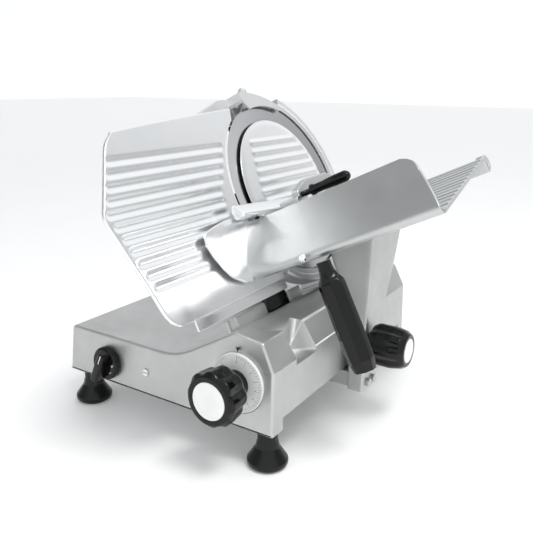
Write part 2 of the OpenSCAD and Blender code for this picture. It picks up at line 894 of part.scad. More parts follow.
module carriage_arm() color(aluminium) machine() difference() {
    intersection() {
        along_y(170, 330) arm_front_outline();
        along_x(250, 370) arm_side_outline(0);
    }
    above_arm();
    intersection() {
        along_x(240, base_w + 23) arm_side_outline(8);
        translate([200, 100, 66]) cube([200, 300, 300]);
    }
    translate([0, clamp_y, clamp_knob_z]) x_disc(5 + run, 320, 370);
    for (y = arm_bolt_y)
        translate([0, y, arm_bolt_z]) x_disc(3.05, 320, 370);
}

module arm_bolts() color(steel) machine() {
    for (y = arm_bolt_y)
        translate([0, y, arm_bolt_z]) {
            x_disc(3, base_w - 7, base_w + 31.1);
            x_disc(5.5, base_w + 31.05, base_w + 35);
        }
}

module tray_panel_outline() {
    translate([0, tray_p]) square([panel_h, tray_len - 46]);
    polygon([
        [0, tray_p + tray_len - 47], [panel_h, tray_p + tray_len - 47],
        [panel_h - 22, tray_p + tray_len - 17], [0, tray_p + tray_len]]);
    translate([panel_h - 24, tray_p + tray_len - 46]) circle(24);
}

module grip_screw_place() {
    translate([fold[0], fold[1], grip_p - 21]) rotate([0, 0, panel_angle])
        translate([3, 2.6, 0]) rotate([-90, 0, 0]) children();
}

module food_tray() color(bright) blade_frame() difference() {
    union() {
        translate([fold[0], fold[1], 0]) {
            // front panel, towards the operator, with the rail along its bottom edge
            rotate([0, 0, panel_angle]) {
                rotate([90, 0, 0]) linear_extrude(tray_t) tray_panel_outline();
                translate([-4, -0.02, tray_p]) cube([14, 2.62, tray_len]);
            }
            // floor with ribs that the food slides on, and a lip down the far edge
            rotate([0, 0, floor_angle]) {
                translate([-3, -tray_t, tray_p]) cube([floor_w + 3, tray_t, tray_len]);
                for (i = [0 : 12])
                    translate([14 + 15.5 * i, -0.05, tray_p]) cube([7, 1.4, tray_len]);
                translate([floor_w - tray_t, -21, tray_p]) cube([tray_t, 21, tray_len]);
            }
        }
        // lugs that carry the pusher's rod
        for (p = [tray_p + 2, tray_p + tray_len - 12])
            translate([rod_y, rod_s, p]) {
                cylinder(h = 10, r = 11);
                translate([-15.5, -8, 0]) cube([12, 19, 10]);
            }
    }
    translate([rod_y, rod_s, 0]) disc(pusher_rod_r + 0.02, tray_p, tray_p + tray_len);
    grip_screw_place() disc(1.85, -3.5, 2);
}

module hand_guard() color(bright) blade_frame() difference() {
    translate([0, 0, tray_p - guard_t]) linear_extrude(guard_t) polygon([
        [3, 144], [25, 149], [47, 152], [76, 153], [84, 147], [92, 142], [102, 142],
        [66, 85], [58, 70], [44, 73], [34, 77], [25, 84], [15, 97], [6, 114], [0.5, 128], [0.5, 138]]);
    for (y = [74, 84])
        translate([y, 92 + 1.4 * (y - 74), tray_p - 6]) cylinder(h = 8, r = 1.8);
}

// Grip seen from the front, with its root at s = 65.5 and its bevelled end below
module grip_front_outline() {
    end_s = 66 - grip_len;
    polygon([
        [grip_p - 8, 65.5], [grip_p + 8, 65.5], [grip_p + 9, 50], [grip_p + 15, 40],
        [grip_p + 15.5, -20], [grip_p + 13, end_s + 9], [grip_p + 7, end_s],
        [grip_p - 7, end_s], [grip_p - 13, end_s + 9], [grip_p - 15.5, -20],
        [grip_p - 15, 40], [grip_p - 9, 50]]);
}

module grip_side_outline() {
    end_s = 66 - grip_len;
    polygon([
        [grip_y - 8, 65.5], [grip_y + 8, 65.5], [grip_y + 8, 50], [grip_y + 13, 38],
        [grip_y + 14, -20], [grip_y + 11, end_s + 8], [grip_y + 5, end_s],
        [grip_y - 5, end_s], [grip_y - 11, end_s + 8], [grip_y - 14, -20],
        [grip_y - 13, 38], [grip_y - 8, 50]]);
}

module tray_grip() color(black) blade_frame() intersection() {
    translate([grip_y - 30, 0, 0]) rotate([0, 90, 0]) rotate([0, 0, 90]) linear_extrude(60)
        rotate([0, 0, 90]) mirror([0, 1, 0]) grip_front_outline();
    translate([0, 0, grip_p - 30]) linear_extrude(60) grip_side_outline();
}

module grip_screw() color(steel) blade_frame() grip_screw_place() {
    translate([0, 0, 0.05]) pan_screw(4.5, 3, 1.8, 3);
}

module pusher_rod() color(steel) blade_frame() translate([rod_y, rod_s, 0]) {
    disc(pusher_rod_r, tray_p + 2.1, tray_p + tray_len - 2.1);
}

module clamp_knob() color(black) machine() translate([0, clamp_y, clamp_knob_z]) difference() {
    union() {
        x_disc(5, base_w + 5, base_w + 45);
        x_disc(13, base_w + 31.3, base_w + 37);
        translate([base_w + 36.9, 0, 0]) rotate([0, 90, 0]) scalloped(29, 8, 9, 20);
        translate([base_w + 56.8, 0, 0]) rotate([0, 90, 0]) scalloped(26, 8, 9, 24);
        x_disc(20, base_w + 80.7, base_w + 87);
    }
    x_disc(16, base_w + 85, base_w + 90);
}

module clamp_disc() color(label_white) machine() translate([0, clamp_y, clamp_knob_z]) {
    x_disc(15.9, base_w + 85.02, base_w + 87.6);
}

// ---------- pusher ----------

module at_pusher_rod() blade_frame() translate([rod_y, rod_s, 0]) children();

module pusher_sleeve() color(black) at_pusher_rod() {
    tube(9, pusher_rod_r + run, tray_p + 24, tray_p + 64);
    tube(12.5, pusher_rod_r + run, tray_p + 16, tray_p + 24.02);
    tube(12.5, pusher_rod_r + run, tray_p + 63.98, tray_p + 70);
}

module pusher_arm() color(bright) blade_frame() difference() {
    union() {
        translate([rod_y, rod_s, 0]) disc(12.5, tray_p + 24.2, tray_p + 63.8);
        translate([0, 0, tray_p + 34]) linear_extrude(12) polygon([
            [rod_y - 9, rod_s + 4], [rod_y + 11, rod_s + 4], [rod_y - 4, 160], [250, 174],
            [190, 172], [158, 160], [158, 140], [172, 140], [192, 160], [246, 162], [268, 150]]);
        translate([150, 132, tray_p + 9.05]) cube([24, 20, 37]);
    }
    translate([rod_y, rod_s, 0]) disc(9 + run, tray_p + 20, tray_p + 70);
}

module pusher_plate() color(bright) blade_frame() {
    translate([0, 0, tray_p + 4]) linear_extrude(5) polygon([
        [62, 148], [62, 164], [190, 158], [262, 152], [262, 116], [108, 88], [106, 130], [113, 141],
        [116, 148]]);
    for (i = [0 : 7])
        translate([122 + 18 * i, 107 + 3.3 * i, tray_p + 1]) cylinder(h = 3.05, r1 = 0.3, r2 = 2);
}

module pusher_grip() color(black) blade_frame() translate([166, 152, 0]) {
    disc(5, tray_p + 46.05, tray_p + 62);
    disc(11, tray_p + 61.95, tray_p + 66);
    disc(9.5, tray_p + 65.95, tray_p + 112);
    translate([0, 0, tray_p + 112]) sphere(9.5);
}

base_casting();
bottom_plate();
bottom_plate_screws();
front_feet();
rear_feet();
foot_bolts();
knife_housing();
housing_bolts();
knife_axle();
bearing_inner_races();
bearing_balls();
knife_cover();
cover_tie_rod();
sharpener_post();
motor_can();
motor_shroud();
motor_end_cap();
run_capacitor();
switch_body();
cable_gland();
carriage_rod();
guide_bar();
gauge_rod();
dial_pointer();
panel_screw();
drive_belt();
knife();
knife_hub();
knife_screws();
bearing_outer_races();
motor_rotor();
motor_pulley();
motor_fan();
cover_knob();
switch_knob();
index_knob();
index_disc();
dial_ring();
index_cam();
gauge_plate();
gauge_bracket();
gauge_slider();
carriage_block();
carriage_arm();
arm_bolts();
food_tray();
hand_guard();
tray_grip();
grip_screw();
pusher_rod();
clamp_knob();
clamp_disc();
pusher_sleeve();
pusher_arm();
pusher_plate();
pusher_grip();
sharpener_cover();
sharpener_knob();
stone_button();
grinding_stone();
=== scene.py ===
import json
import math

import bpy
import numpy as np
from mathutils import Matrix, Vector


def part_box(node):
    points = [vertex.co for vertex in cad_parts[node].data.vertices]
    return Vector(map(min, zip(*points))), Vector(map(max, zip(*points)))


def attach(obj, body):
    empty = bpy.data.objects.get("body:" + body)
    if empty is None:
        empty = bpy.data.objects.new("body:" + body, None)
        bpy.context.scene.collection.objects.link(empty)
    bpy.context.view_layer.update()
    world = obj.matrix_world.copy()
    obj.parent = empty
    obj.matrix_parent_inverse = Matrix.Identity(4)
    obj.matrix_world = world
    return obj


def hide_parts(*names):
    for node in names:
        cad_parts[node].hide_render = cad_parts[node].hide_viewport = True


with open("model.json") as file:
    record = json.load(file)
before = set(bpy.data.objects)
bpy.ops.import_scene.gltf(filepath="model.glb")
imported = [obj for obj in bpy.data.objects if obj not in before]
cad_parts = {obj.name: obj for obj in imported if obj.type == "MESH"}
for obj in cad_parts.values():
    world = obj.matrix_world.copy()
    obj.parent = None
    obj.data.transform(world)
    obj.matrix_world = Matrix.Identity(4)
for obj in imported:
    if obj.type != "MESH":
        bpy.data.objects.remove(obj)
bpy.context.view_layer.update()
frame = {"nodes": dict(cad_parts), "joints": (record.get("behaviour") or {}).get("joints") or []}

# ---------- camera, floor and light ----------
# The machine stands on a plain white table top, lit a little from below as in a studio, under two
# soft lamps. The camera looks slightly down on it from the operator's right hand side.
camera_data = bpy.data.cameras.new("studio_camera")
camera_data.lens = 43.67
camera_data.sensor_width = 36.0
camera_data.shift_y = -0.1126
studio_camera = bpy.data.objects.new("studio_camera", camera_data)
studio_camera.location = (0.4428, -0.7126, 0.4472)
studio_camera.rotation_euler = (
    math.radians(90 - 10.97), math.radians(-0.554), math.radians(32.794))
bpy.context.scene.collection.objects.link(studio_camera)
bpy.context.scene.camera = studio_camera


def node_tree(name):
    """A new material with only a Principled shader, and its nodes, links and shader."""
    made = bpy.data.materials.new(name)
    made.use_nodes = True
    nodes, links = made.node_tree.nodes, made.node_tree.links
    return made, nodes, links, nodes["Principled BSDF"]


def noise(nodes, links, scale, detail=3.0, stretch=(1, 1, 1), turned=(0, 0, 0)):
    """Noise on Object coordinates: the point is turned, each axis is stretched, then sampled."""
    place = nodes.new("ShaderNodeTexCoord")
    mapping = nodes.new("ShaderNodeMapping")
    mapping.inputs["Rotation"].default_value = turned
    squeeze = nodes.new("ShaderNodeVectorMath")
    squeeze.operation = "MULTIPLY"
    squeeze.inputs[1].default_value = stretch
    grain = nodes.new("ShaderNodeTexNoise")
    grain.inputs["Scale"].default_value = scale
    grain.inputs["Detail"].default_value = detail
    links.new(place.outputs["Object"], mapping.inputs["Vector"])
    links.new(mapping.outputs["Vector"], squeeze.inputs[0])
    links.new(squeeze.outputs["Vector"], grain.inputs["Vector"])
    return grain.outputs["Fac"]


def between(nodes, links, factor, low, high, start=0.3, end=0.7):
    """A number that runs from low to high as the factor runs from start to end."""
    ramp = nodes.new("ShaderNodeMapRange")
    ramp.inputs["From Min"].default_value = start
    ramp.inputs["From Max"].default_value = end
    ramp.inputs["To Min"].default_value = low
    ramp.inputs["To Max"].default_value = high
    links.new(factor, ramp.inputs["Value"])
    return ramp.outputs["Result"]


def tint(nodes, links, factor, dark, light, start=0.3, end=0.7):
    """A colour that runs from dark to light as the factor runs from start to end."""
    mix = nodes.new("ShaderNodeMix")
    mix.data_type = "RGBA"
    mix.inputs["A"].default_value = (*dark, 1)
    mix.inputs["B"].default_value = (*light, 1)
    links.new(between(nodes, links, factor, 0, 1, start, end), mix.inputs["Factor"])
    return mix.outputs["Result"]


def bump(nodes, links, height, strength, depth, under=None):
    """Lets the surface rise and fall with the height, by the depth in metres."""
    node = nodes.new("ShaderNodeBump")
    node.inputs["Strength"].default_value = strength
    node.inputs["Distance"].default_value = depth
    links.new(height, node.inputs["Height"])
    if under is not None:
        links.new(under, node.inputs["Normal"])
    return node.outputs["Normal"]


def painted(name, dark, light, rough, patch=6.0):
    """A plain surface whose colour and gloss drift slowly, with a fine grain in its height."""
    made, nodes, links, shader = node_tree(name)
    drift = noise(nodes, links, patch)
    links.new(tint(nodes, links, drift, dark, light), shader.inputs["Base Color"])
    links.new(between(nodes, links, noise(nodes, links, patch * 9), rough - 0.05, rough + 0.05),
              shader.inputs["Roughness"])
    links.new(bump(nodes, links, noise(nodes, links, 700), 0.05, 0.0003), shader.inputs["Normal"])
    return made


table_top = bpy.data.meshes.new("table_top")
table_reach = 12.0
table_top.from_pydata(
    [(-table_reach, -table_reach, 0), (table_reach, -table_reach, 0),
     (table_reach, table_reach, 0), (-table_reach, table_reach, 0)], [], [(0, 1, 2, 3)])
table_white = painted("table_white", (0.94, 0.94, 0.935), (0.96, 0.96, 0.955), 0.7)
table_shader = table_white.node_tree.nodes["Principled BSDF"]
table_shader.inputs["Emission Color"].default_value = (1, 1, 1, 1)
table_shader.inputs["Emission Strength"].default_value = 0.09
table_top.materials.append(table_white)
table = bpy.data.objects.new("table_top", table_top)
bpy.context.scene.collection.objects.link(table)

room = bpy.data.worlds.new("studio_room")
room.use_nodes = True
room_nodes, room_links = room.node_tree.nodes, room.node_tree.links
backdrop = room_nodes["Background"]
bpy.context.scene.world = room
bpy.context.scene.view_settings.view_transform = "Standard"


def grey_screen(under, aim, level, start, end):
    """A soft grey screen in the room: the room's colour darkens to the level towards the aim."""
    sky = room_nodes.new("ShaderNodeTexCoord")
    facing = room_nodes.new("ShaderNodeVectorMath")
    facing.operation = "DOT_PRODUCT"
    facing.inputs[1].default_value = np.array(aim) / np.linalg.norm(aim)
    room_links.new(sky.outputs["Generated"], facing.inputs[0])
    ramp = room_nodes.new("ShaderNodeMapRange")
    ramp.interpolation_type = "SMOOTHSTEP"
    for socket, value in zip(("From Min", "From Max", "To Min", "To Max"), (start, end, 1, level)):
        ramp.inputs[socket].default_value = value
    room_links.new(facing.outputs["Value"], ramp.inputs["Value"])
    dim = room_nodes.new("ShaderNodeVectorMath")
    dim.operation = "SCALE"
    dim.inputs[0].default_value = (0.97, 0.985, 1.0)
    if under is not None:
        room_links.new(under, dim.inputs[0])
    room_links.new(ramp.outputs["Result"], dim.inputs["Scale"])
    return dim.outputs["Vector"]


screens = grey_screen(None, (-0.84, -0.3, 0.45), 0.4, 0.5, 0.95)
screens = grey_screen(screens, (0.85, 0.5, 0.12), 0.45, 0.7, 0.97)
room_links.new(screens, backdrop.inputs["Color"])
backdrop.inputs["Strength"].default_value = 1.04


def soft_lamp(name, place, aim, size, power):
    """A square lamp of the given side that shines from its place towards the aim."""
    lamp_data = bpy.data.lights.new(name, "AREA")
    lamp_data.size = size
    lamp_data.energy = power
    lamp = bpy.data.objects.new(name, lamp_data)
    lamp.location = place
    direction = np.array(aim) - np.array(place)
    yaw = math.atan2(direction[0], -direction[1])
    pitch = math.atan2(np.hypot(direction[0], direction[1]), -direction[2])
    lamp.rotation_euler = (pitch, 0, yaw)
    bpy.context.scene.collection.objects.link(lamp)


soft_lamp("key_lamp", (1.1, -0.5, 2.3), (0, 0, 0.1), 0.9, 48)
soft_lamp("left_lamp", (-1.9, -1.3, 1.7), (0, 0, 0.1), 0.9, 16)

# ---------- base casting ----------
# The body of the machine is one aluminium casting, sand cast, then bead blasted and anodised
# to a fine satin. It is open below, and its slice deck sweeps up into the ridge that carries
# the knife head.
MM = 0.001
base_low, base_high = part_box("base_casting")
corner = np.array([base_low.x + 3 * MM, base_high.y - 398 * MM, 0.0])
knife_spin = next(j for j in frame["joints"] if j["name"] == "knife_spin")
knife_axis = np.array(knife_spin["axis"])
tilt_cos, tilt_sin = knife_axis[0], knife_axis[2]


def machine(x, y, z):
    """Points from millimetres counted from the base's front left corner."""
    return np.stack(np.broadcast_arrays(x, y, z), -1).astype(float)


def blade(y, s, p):
    """Points in the leaning frame: y along the travel, s up the knife's plane, p out of it."""
    return machine(p * tilt_cos - s * tilt_sin, y, p * tilt_sin + s * tilt_cos)


def add_piece(name, points, faces, crease=35):
    """A mesh piece with smooth shading that breaks at edges sharper than the crease angle.
    A closed piece whose volume comes out negative has its faces turned round."""
    points = np.asarray(points, float).reshape(-1, 3)
    spokes = [(f[0], f[k], f[k + 1]) for f in faces if len(f) > 4 for k in range(1, len(f) - 1)]
    fours = np.array([f for f in faces if len(f) == 4], int).reshape(-1, 4)
    threes = np.array([f for f in faces if len(f) == 3] + spokes, int).reshape(-1, 3)
    corners = np.concatenate([fours[:, [0, 1, 2]], fours[:, [0, 2, 3]], threes])
    a, b, c = (points[corners[:, k]] for k in range(3))
    if np.einsum("ij,ij->i", a, np.cross(b, c)).sum() < 0:
        faces = [f[::-1] for f in faces]
    mesh = bpy.data.meshes.new(name)
    mesh.from_pydata((points * MM + corner).tolist(), [], faces)
    mesh.update()
    mesh.shade_smooth()
    mesh.set_sharp_from_angle(angle=math.radians(crease))
    piece = bpy.data.objects.new(name, mesh)
    bpy.context.scene.collection.objects.link(piece)
    return piece


def grid_faces(rows, columns, round_columns=False, first=0):
    """The four-cornered faces of a grid of points, closed on itself along its rows if asked."""
    i, j = np.meshgrid(
        np.arange(rows - 1), np.arange(columns if round_columns else columns - 1), indexing="ij")
    ahead = (j + 1) % columns
    faces = np.stack([i * columns + j, i * columns + ahead,
                      (i + 1) * columns + ahead, (i + 1) * columns + j], -1)
    return (faces.reshape(-1, 4) + first).tolist()


def ring_solid(name, rings, crease=35):
    """A solid through closed rings of equal length, with a flat cap on the first and the last."""
    count, around = rings.shape[:2]
    faces = grid_faces(count, around, round_columns=True)
    faces.append(list(range(around))[::-1])
    faces.append(list(range((count - 1) * around, count * around)))
    return add_piece(name, rings, faces, crease)


def rounded(corners, steps=6, closed=True):
    """A line through corners (x, y, radius): an arc that touches both sides stands for each.
    The arc turns evenly from the foot on one side to the foot on the other."""
    spots = np.array(corners, float)
    place, radius = spots[:, :2], spots[:, 2:3]
    back = np.roll(place, 1, 0) - place
    ahead = np.roll(place, -1, 0) - place
    back /= np.linalg.norm(back, axis=1, keepdims=True)
    ahead /= np.linalg.norm(ahead, axis=1, keepdims=True)
    half = np.arccos(np.clip((back * ahead).sum(1, keepdims=True), -1, 1)) / 2
    middle = back + ahead
    middle /= np.maximum(np.linalg.norm(middle, axis=1, keepdims=True), 1e-9)
    foot = radius / np.tan(half)
    centre = place + middle * radius / np.sin(half)
    sweep = np.maximum(math.pi - 2 * half, 1e-6)[:, None]
    share = np.linspace(0, 1, steps + 1)[None, :, None]
    start, end = (place + back * foot - centre)[:, None], (place + ahead * foot - centre)[:, None]
    arc = (np.sin((1 - share) * sweep) * start + np.sin(share * sweep) * end) / np.sin(sweep)
    points = arc + centre[:, None]
    if not closed:
        points[0], points[-1] = place[0], place[-1]
    points = points.reshape(-1, 2)
    keep = np.linalg.norm(points - np.roll(points, 1, 0), axis=1) > 1e-4
    return points[keep]


def inset(outline, distance):
    """The closed outline moved inwards by the distance, each corner along its mitre."""
    along = np.roll(outline, -1, 0) - outline
    along /= np.linalg.norm(along, axis=1, keepdims=True)
    out = np.stack([along[:, 1], -along[:, 0]], 1)
    before = np.roll(out, 1, 0)
    mitre = (out + before) / (1 + (out * before).sum(1, keepdims=True))
    x, y = outline.T
    turn = np.sign((x * np.roll(y, -1) - np.roll(x, -1) * y).sum())
    return outline - turn * mitre * distance


def prism(name, outline, place, low, high, edge=0.0, steps=4, crease=35):
    """An outline carried from low to high, its end edges rounded by a quarter circle."""
    turn = np.linspace(0, math.pi / 2, steps + 1 if edge else 1)
    shrink, climb = edge * (1 - np.sin(turn)), edge * (1 - np.cos(turn))
    insets = np.concatenate([shrink, shrink[::-1]])
    heights = np.concatenate([low + climb, high - climb[::-1]])
    if not edge:
        insets, heights = np.zeros(2), np.array([low, high])
    rings = [place(*inset(outline, d).T, h) for d, h in zip(insets, heights)]
    return ring_solid(name, np.stack(rings), crease)


def box_outline(x0, x1, y0, y1, radius=0.0):
    """A rectangle with rounded corners."""
    return rounded([(x0, y0, radius), (x1, y0, radius), (x1, y1, radius), (x0, y1, radius)])


def cut(piece, tools, keep="DIFFERENCE"):
    """Takes the tools away from the piece, or keeps what lies in them, and drops the tools.
    Its shading is then evened, so that large flat faces rule the thin ones beside them."""
    for tool in tools:
        change = piece.modifiers.new("cut", "BOOLEAN")
        change.operation = keep
        change.solver = "EXACT"
        change.object = tool
    changed = piece.evaluated_get(bpy.context.evaluated_depsgraph_get())
    mesh = bpy.data.meshes.new_from_object(changed)
    piece.modifiers.clear()
    piece.data = mesh
    mesh.shade_smooth()
    mesh.set_sharp_from_angle(angle=math.radians(30))
    even = piece.modifiers.new("evened", "WEIGHTED_NORMAL")
    even.keep_sharp = True
    even.weight = 80
    for tool in tools:
        bpy.data.objects.remove(tool)
    return piece


def settle(piece, body, finish, material_slot, *nodes):
    """The piece rides on its body, stands for the CAD nodes and takes its finish."""
    piece.data.materials.clear()
    piece.data.materials.append(finish)
    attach(piece, body)
    if nodes:
        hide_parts(*nodes)
    return piece


def worn_edge(nodes, links, radius):
    """1 on sharp edges and 0 elsewhere: how far the rounded normal leans from the true one."""
    rounded_normal = nodes.new("ShaderNodeBevel")
    rounded_normal.samples = 4
    rounded_normal.inputs["Radius"].default_value = radius
    true_normal = nodes.new("ShaderNodeNewGeometry")
    lean = nodes.new("ShaderNodeVectorMath")
    lean.operation = "DOT_PRODUCT"
    links.new(rounded_normal.outputs["Normal"], lean.inputs[0])
    links.new(true_normal.outputs["True Normal"], lean.inputs[1])
    mask = between(nodes, links, lean.outputs["Value"], 1, 0, 0.8, 0.995)
    return mask, rounded_normal.outputs["Normal"]


def satin_metal(name, dark, light, rough, grain=900, brushed=(1, 1, 1), turned=(0, 0, 0),
                depth=0.000012, patch=14.0, wear=0.0006):
    """Metal with slow patches of tone, fine grain in gloss and height, and rubbed bright edges."""
    made, nodes, links, shader = node_tree(name)
    tone = noise(nodes, links, patch, 4)
    fine = noise(nodes, links, grain, 5, brushed, turned)
    colour = nodes.new("ShaderNodeMix")
    colour.data_type = "RGBA"
    edge, rounded_normal = worn_edge(nodes, links, wear)
    links.new(tint(nodes, links, tone, dark, light), colour.inputs["A"])
    colour.inputs["B"].default_value = (0.93, 0.93, 0.93, 1)
    links.new(between(nodes, links, edge, 0, 0.7, 0, 1), colour.inputs["Factor"])
    links.new(colour.outputs["Result"], shader.inputs["Base Color"])
    shader.inputs["Metallic"].default_value = 0.88
    gloss = nodes.new("ShaderNodeMath")
    gloss.operation = "MULTIPLY"
    links.new(between(nodes, links, fine, rough * 0.92, rough * 1.08, 0.25, 0.75), gloss.inputs[0])
    links.new(between(nodes, links, noise(nodes, links, patch * 5, 5), 0.9, 1.12), gloss.inputs[1])
    links.new(gloss.outputs["Value"], shader.inputs["Roughness"])
    links.new(bump(nodes, links, fine, 0.4, depth, rounded_normal), shader.inputs["Normal"])
    return made


cast_satin = satin_metal("cast_satin", (0.49, 0.495, 0.49), (0.56, 0.565, 0.56), 0.44)

base_depth = 398
front_lean = math.tan(math.radians(3.13))
base_outline = rounded([
    (-3.0, 48, 0.8), (-0.05, 112, 6), (187.8, 112, 100), (274, 161.5, 5), (314, 156.7, 4),
    (329.9, 124.7, 6), (331, 48, 0.8)], steps=10)


def base_place(x, z, along):
    """The outline stands upright at the back, and at the front it leans back as it climbs."""
    share = along / base_depth
    return machine(x, (z - 112) * front_lean * (1 - share) + along, z)


def leaning_box(y0, y1, s0, s1, p0, p1, name="seat", edge=1.2, radius=2.0):
    """A block in the leaning frame, given by its limits, with rounded edges."""
    return prism(name, box_outline(y0, y1, s0, s1, radius), blade, p0, p1, edge)


def from_cad(name, node):
    """A copy of a CAD node's mesh with its shared points merged."""
    mesh = frame["nodes"][node].data.copy()
    mesh.materials.clear()
    piece = bpy.data.objects.new(name, mesh)
    bpy.context.scene.collection.objects.link(piece)
    weld = piece.modifiers.new("weld", "WELD")
    weld.merge_threshold = 0.000002
    changed = piece.evaluated_get(bpy.context.evaluated_depsgraph_get())
    piece.data = bpy.data.meshes.new_from_object(changed)
    piece.modifiers.clear()
    return piece


base_skin = prism("base_skin", base_outline, base_place, 0.05, base_depth - 0.05, edge=3.0)
base_shell = from_cad("base_shell", "base_casting")
cut(base_shell, [base_skin], "INTERSECT")
settle(base_shell, "machine", cast_satin, "cast_aluminium", "base_casting")

upstand = prism("base_upstand", rounded([
    (6.5, 8, 0), (87.5, 8, 0), (87.5, 39.5, 2), (24.3, 39.5, 1), (24.3, 28, 0.5), (12, 28, 0.5),
    (12, 39.5, 1), (6.5, 39.5, 1.5)]), blade, 305, 309, 0.8)
settle(upstand, "machine", cast_satin, "cast_aluminium")
settle(leaning_box(142.5, 175.5, 8, 39.5, 305, 309, "base_upstand_rear", 0.8), "machine",
       cast_satin, "cast_aluminium")
settle(leaning_box(234, 366, 5, 27, 261.2, 304.8, "base_head_seat"), "machine", cast_satin,
       "cast_aluminium")

# ---------- feet ----------
# Four moulded rubber bells, each pulled up against the casting by a bolt through its middle.
# They are shiny where the mould was polished and dull where they touch the table.


def moulded(name, colour, rough, grain, depth, shine=0.3, scuff=0.012):
    """Moulded plastic or rubber: a faint orange peel, uneven gloss and slightly lighter wear."""
    made, nodes, links, shader = node_tree(name)
    tone = noise(nodes, links, 45, 5)
    light = tuple(c * 1.3 + 0.0005 for c in colour)
    edge, rounded_normal = worn_edge(nodes, links, 0.0007)
    colour_mix = nodes.new("ShaderNodeMix")
    colour_mix.data_type = "RGBA"
    links.new(tint(nodes, links, tone, colour, light, 0.35, 0.8), colour_mix.inputs["A"])
    colour_mix.inputs["B"].default_value = (*(c + scuff for c in colour), 1)
    links.new(between(nodes, links, edge, 0, 0.4, 0, 1), colour_mix.inputs["Factor"])
    links.new(colour_mix.outputs["Result"], shader.inputs["Base Color"])
    links.new(between(nodes, links, noise(nodes, links, 110, 6), rough * 0.7, rough * 1.35),
              shader.inputs["Roughness"])
    shader.inputs["Specular IOR Level"].default_value = shine
    links.new(bump(nodes, links, noise(nodes, links, grain, 3), 0.35, depth, rounded_normal),
              shader.inputs["Normal"])
    return made


rubber = moulded("foot_rubber", (0.004, 0.005, 0.0045), 0.2, 900, 0.000008)


def upright(x0, y0):
    """A place function for turned pieces that stand on the spot (x0, y0)."""
    return lambda x, y, height: machine(x0 + x, y0 + y, height)


def lathe(name, profile, place, around=96, wave=None, crease=35):
    """A profile (radius, height) turned round an axis. wave(angle, height) scales the radius.
    The flat ends are capped, and place puts (x, y, height) where the axis stands."""
    angle = np.linspace(0, 2 * math.pi, around, endpoint=False)[None, :]
    radius, height = profile[:, :1], profile[:, 1:2] + 0 * angle
    radius = radius * (wave(angle, height) if wave else 1 + 0 * angle)
    return ring_solid(name, place(radius * np.cos(angle), radius * np.sin(angle), height), crease)


def turned_profile(corners, steps=5):
    """The half section of a turned piece: corners (radius, height, rounding), axis left out."""
    line = rounded(corners, steps, closed=False)
    return line[line[:, 0] > 0.02]


foot_profile = turned_profile([
    (0, 17.8, 0), (8, 17.8, 1), (8, 0, 1), (20.5, 0, 1.5), (24.6, 3.5, 4), (25, 8.5, 4),
    (20.5, 15, 8), (14.5, 24, 10), (12.3, 34, 10), (12.6, 47.9, 0.6), (0, 47.9, 0)], 6)
foot_inset = 18
base_width = 330
foot_rows = (("front", "front_feet", foot_inset), ("rear", "rear_feet", base_depth - foot_inset))
for row, node, y in foot_rows:
    for side, x in (("left", foot_inset), ("right", base_width - foot_inset)):
        foot = lathe(f"{row}_{side}_foot", foot_profile, upright(x, y), crease=50)
        settle(foot, "machine", rubber, "black_rubber", node)

# ---------- thickness plate ----------
# A pressed aluminium plate, 5 mm thick, with long soft grooves so that the food slides without
# sticking. It is polished along the grooves, and its bottom edge is bent back over the slide.


def soft_line(at, places, values, width=9):
    """Values read along a bent line, with its corners softened by a moving average."""
    fine = np.linspace(places[0], places[-1], 400)
    line = np.interp(fine, places, values)
    reach = max(1, int(width / (fine[1] - fine[0]) / 2))
    padded = np.concatenate([np.full(reach, line[0]), line, np.full(reach, line[-1])])
    kernel = np.ones(2 * reach + 1) / (2 * reach + 1)
    return np.interp(at, fine, np.convolve(padded, kernel, "valid"))


def slab(name, top, under, rim=1.0, steps=4, crease=50):
    """A closed solid between two grids of points, with a half round rim that bulges by rim.
    The rim leaves along the line from the last inner point to the edge point."""
    rows, columns = top.shape[:2]
    i = np.concatenate([np.zeros(columns), np.arange(1, rows), np.full(columns - 1, rows - 1),
                        np.arange(rows - 2, 0, -1)]).astype(int)
    j = np.concatenate([np.arange(columns), np.full(rows - 1, columns - 1),
                        np.arange(columns - 2, -1, -1), np.zeros(rows - 2)]).astype(int)
    inner = (np.clip(i, 1, rows - 2), np.clip(j, 1, columns - 2))
    out = top[i, j] - top[inner]
    out /= np.linalg.norm(out, axis=1, keepdims=True)
    over, below = top[i, j], under[i, j]
    turn = np.linspace(0, math.pi, steps + 2)[1:-1, None, None]
    rings = (over + below) / 2 + np.cos(turn) * (over - below) / 2 + np.sin(turn) * out * rim
    count, around = rows * columns, len(i)
    points = np.concatenate([top.reshape(-1, 3), under.reshape(-1, 3), rings.reshape(-1, 3)])
    faces = grid_faces(rows, columns)
    faces += [f[::-1] for f in grid_faces(rows, columns, first=count)]
    edge = i * columns + j
    loops = np.concatenate([[edge], 2 * count + np.arange(steps * around).reshape(steps, around),
                            [edge + count]])
    ahead = np.roll(loops, -1, 1)
    strips = np.stack([loops[:-1], loops[1:], ahead[1:], ahead[:-1]], -1)
    return add_piece(name, points, faces + strips.reshape(-1, 4).tolist(), crease)


def groove(y, s, start, length, level, half_width):
    """1 in the middle of a round-ended groove and 0 past its half width, as a raised cosine."""
    beside = y - np.clip(y, start, start + length)
    away = np.hypot(beside, s - level) / half_width
    return np.where(away < 1, 0.5 + 0.5 * np.cos(math.pi * away), 0.0)


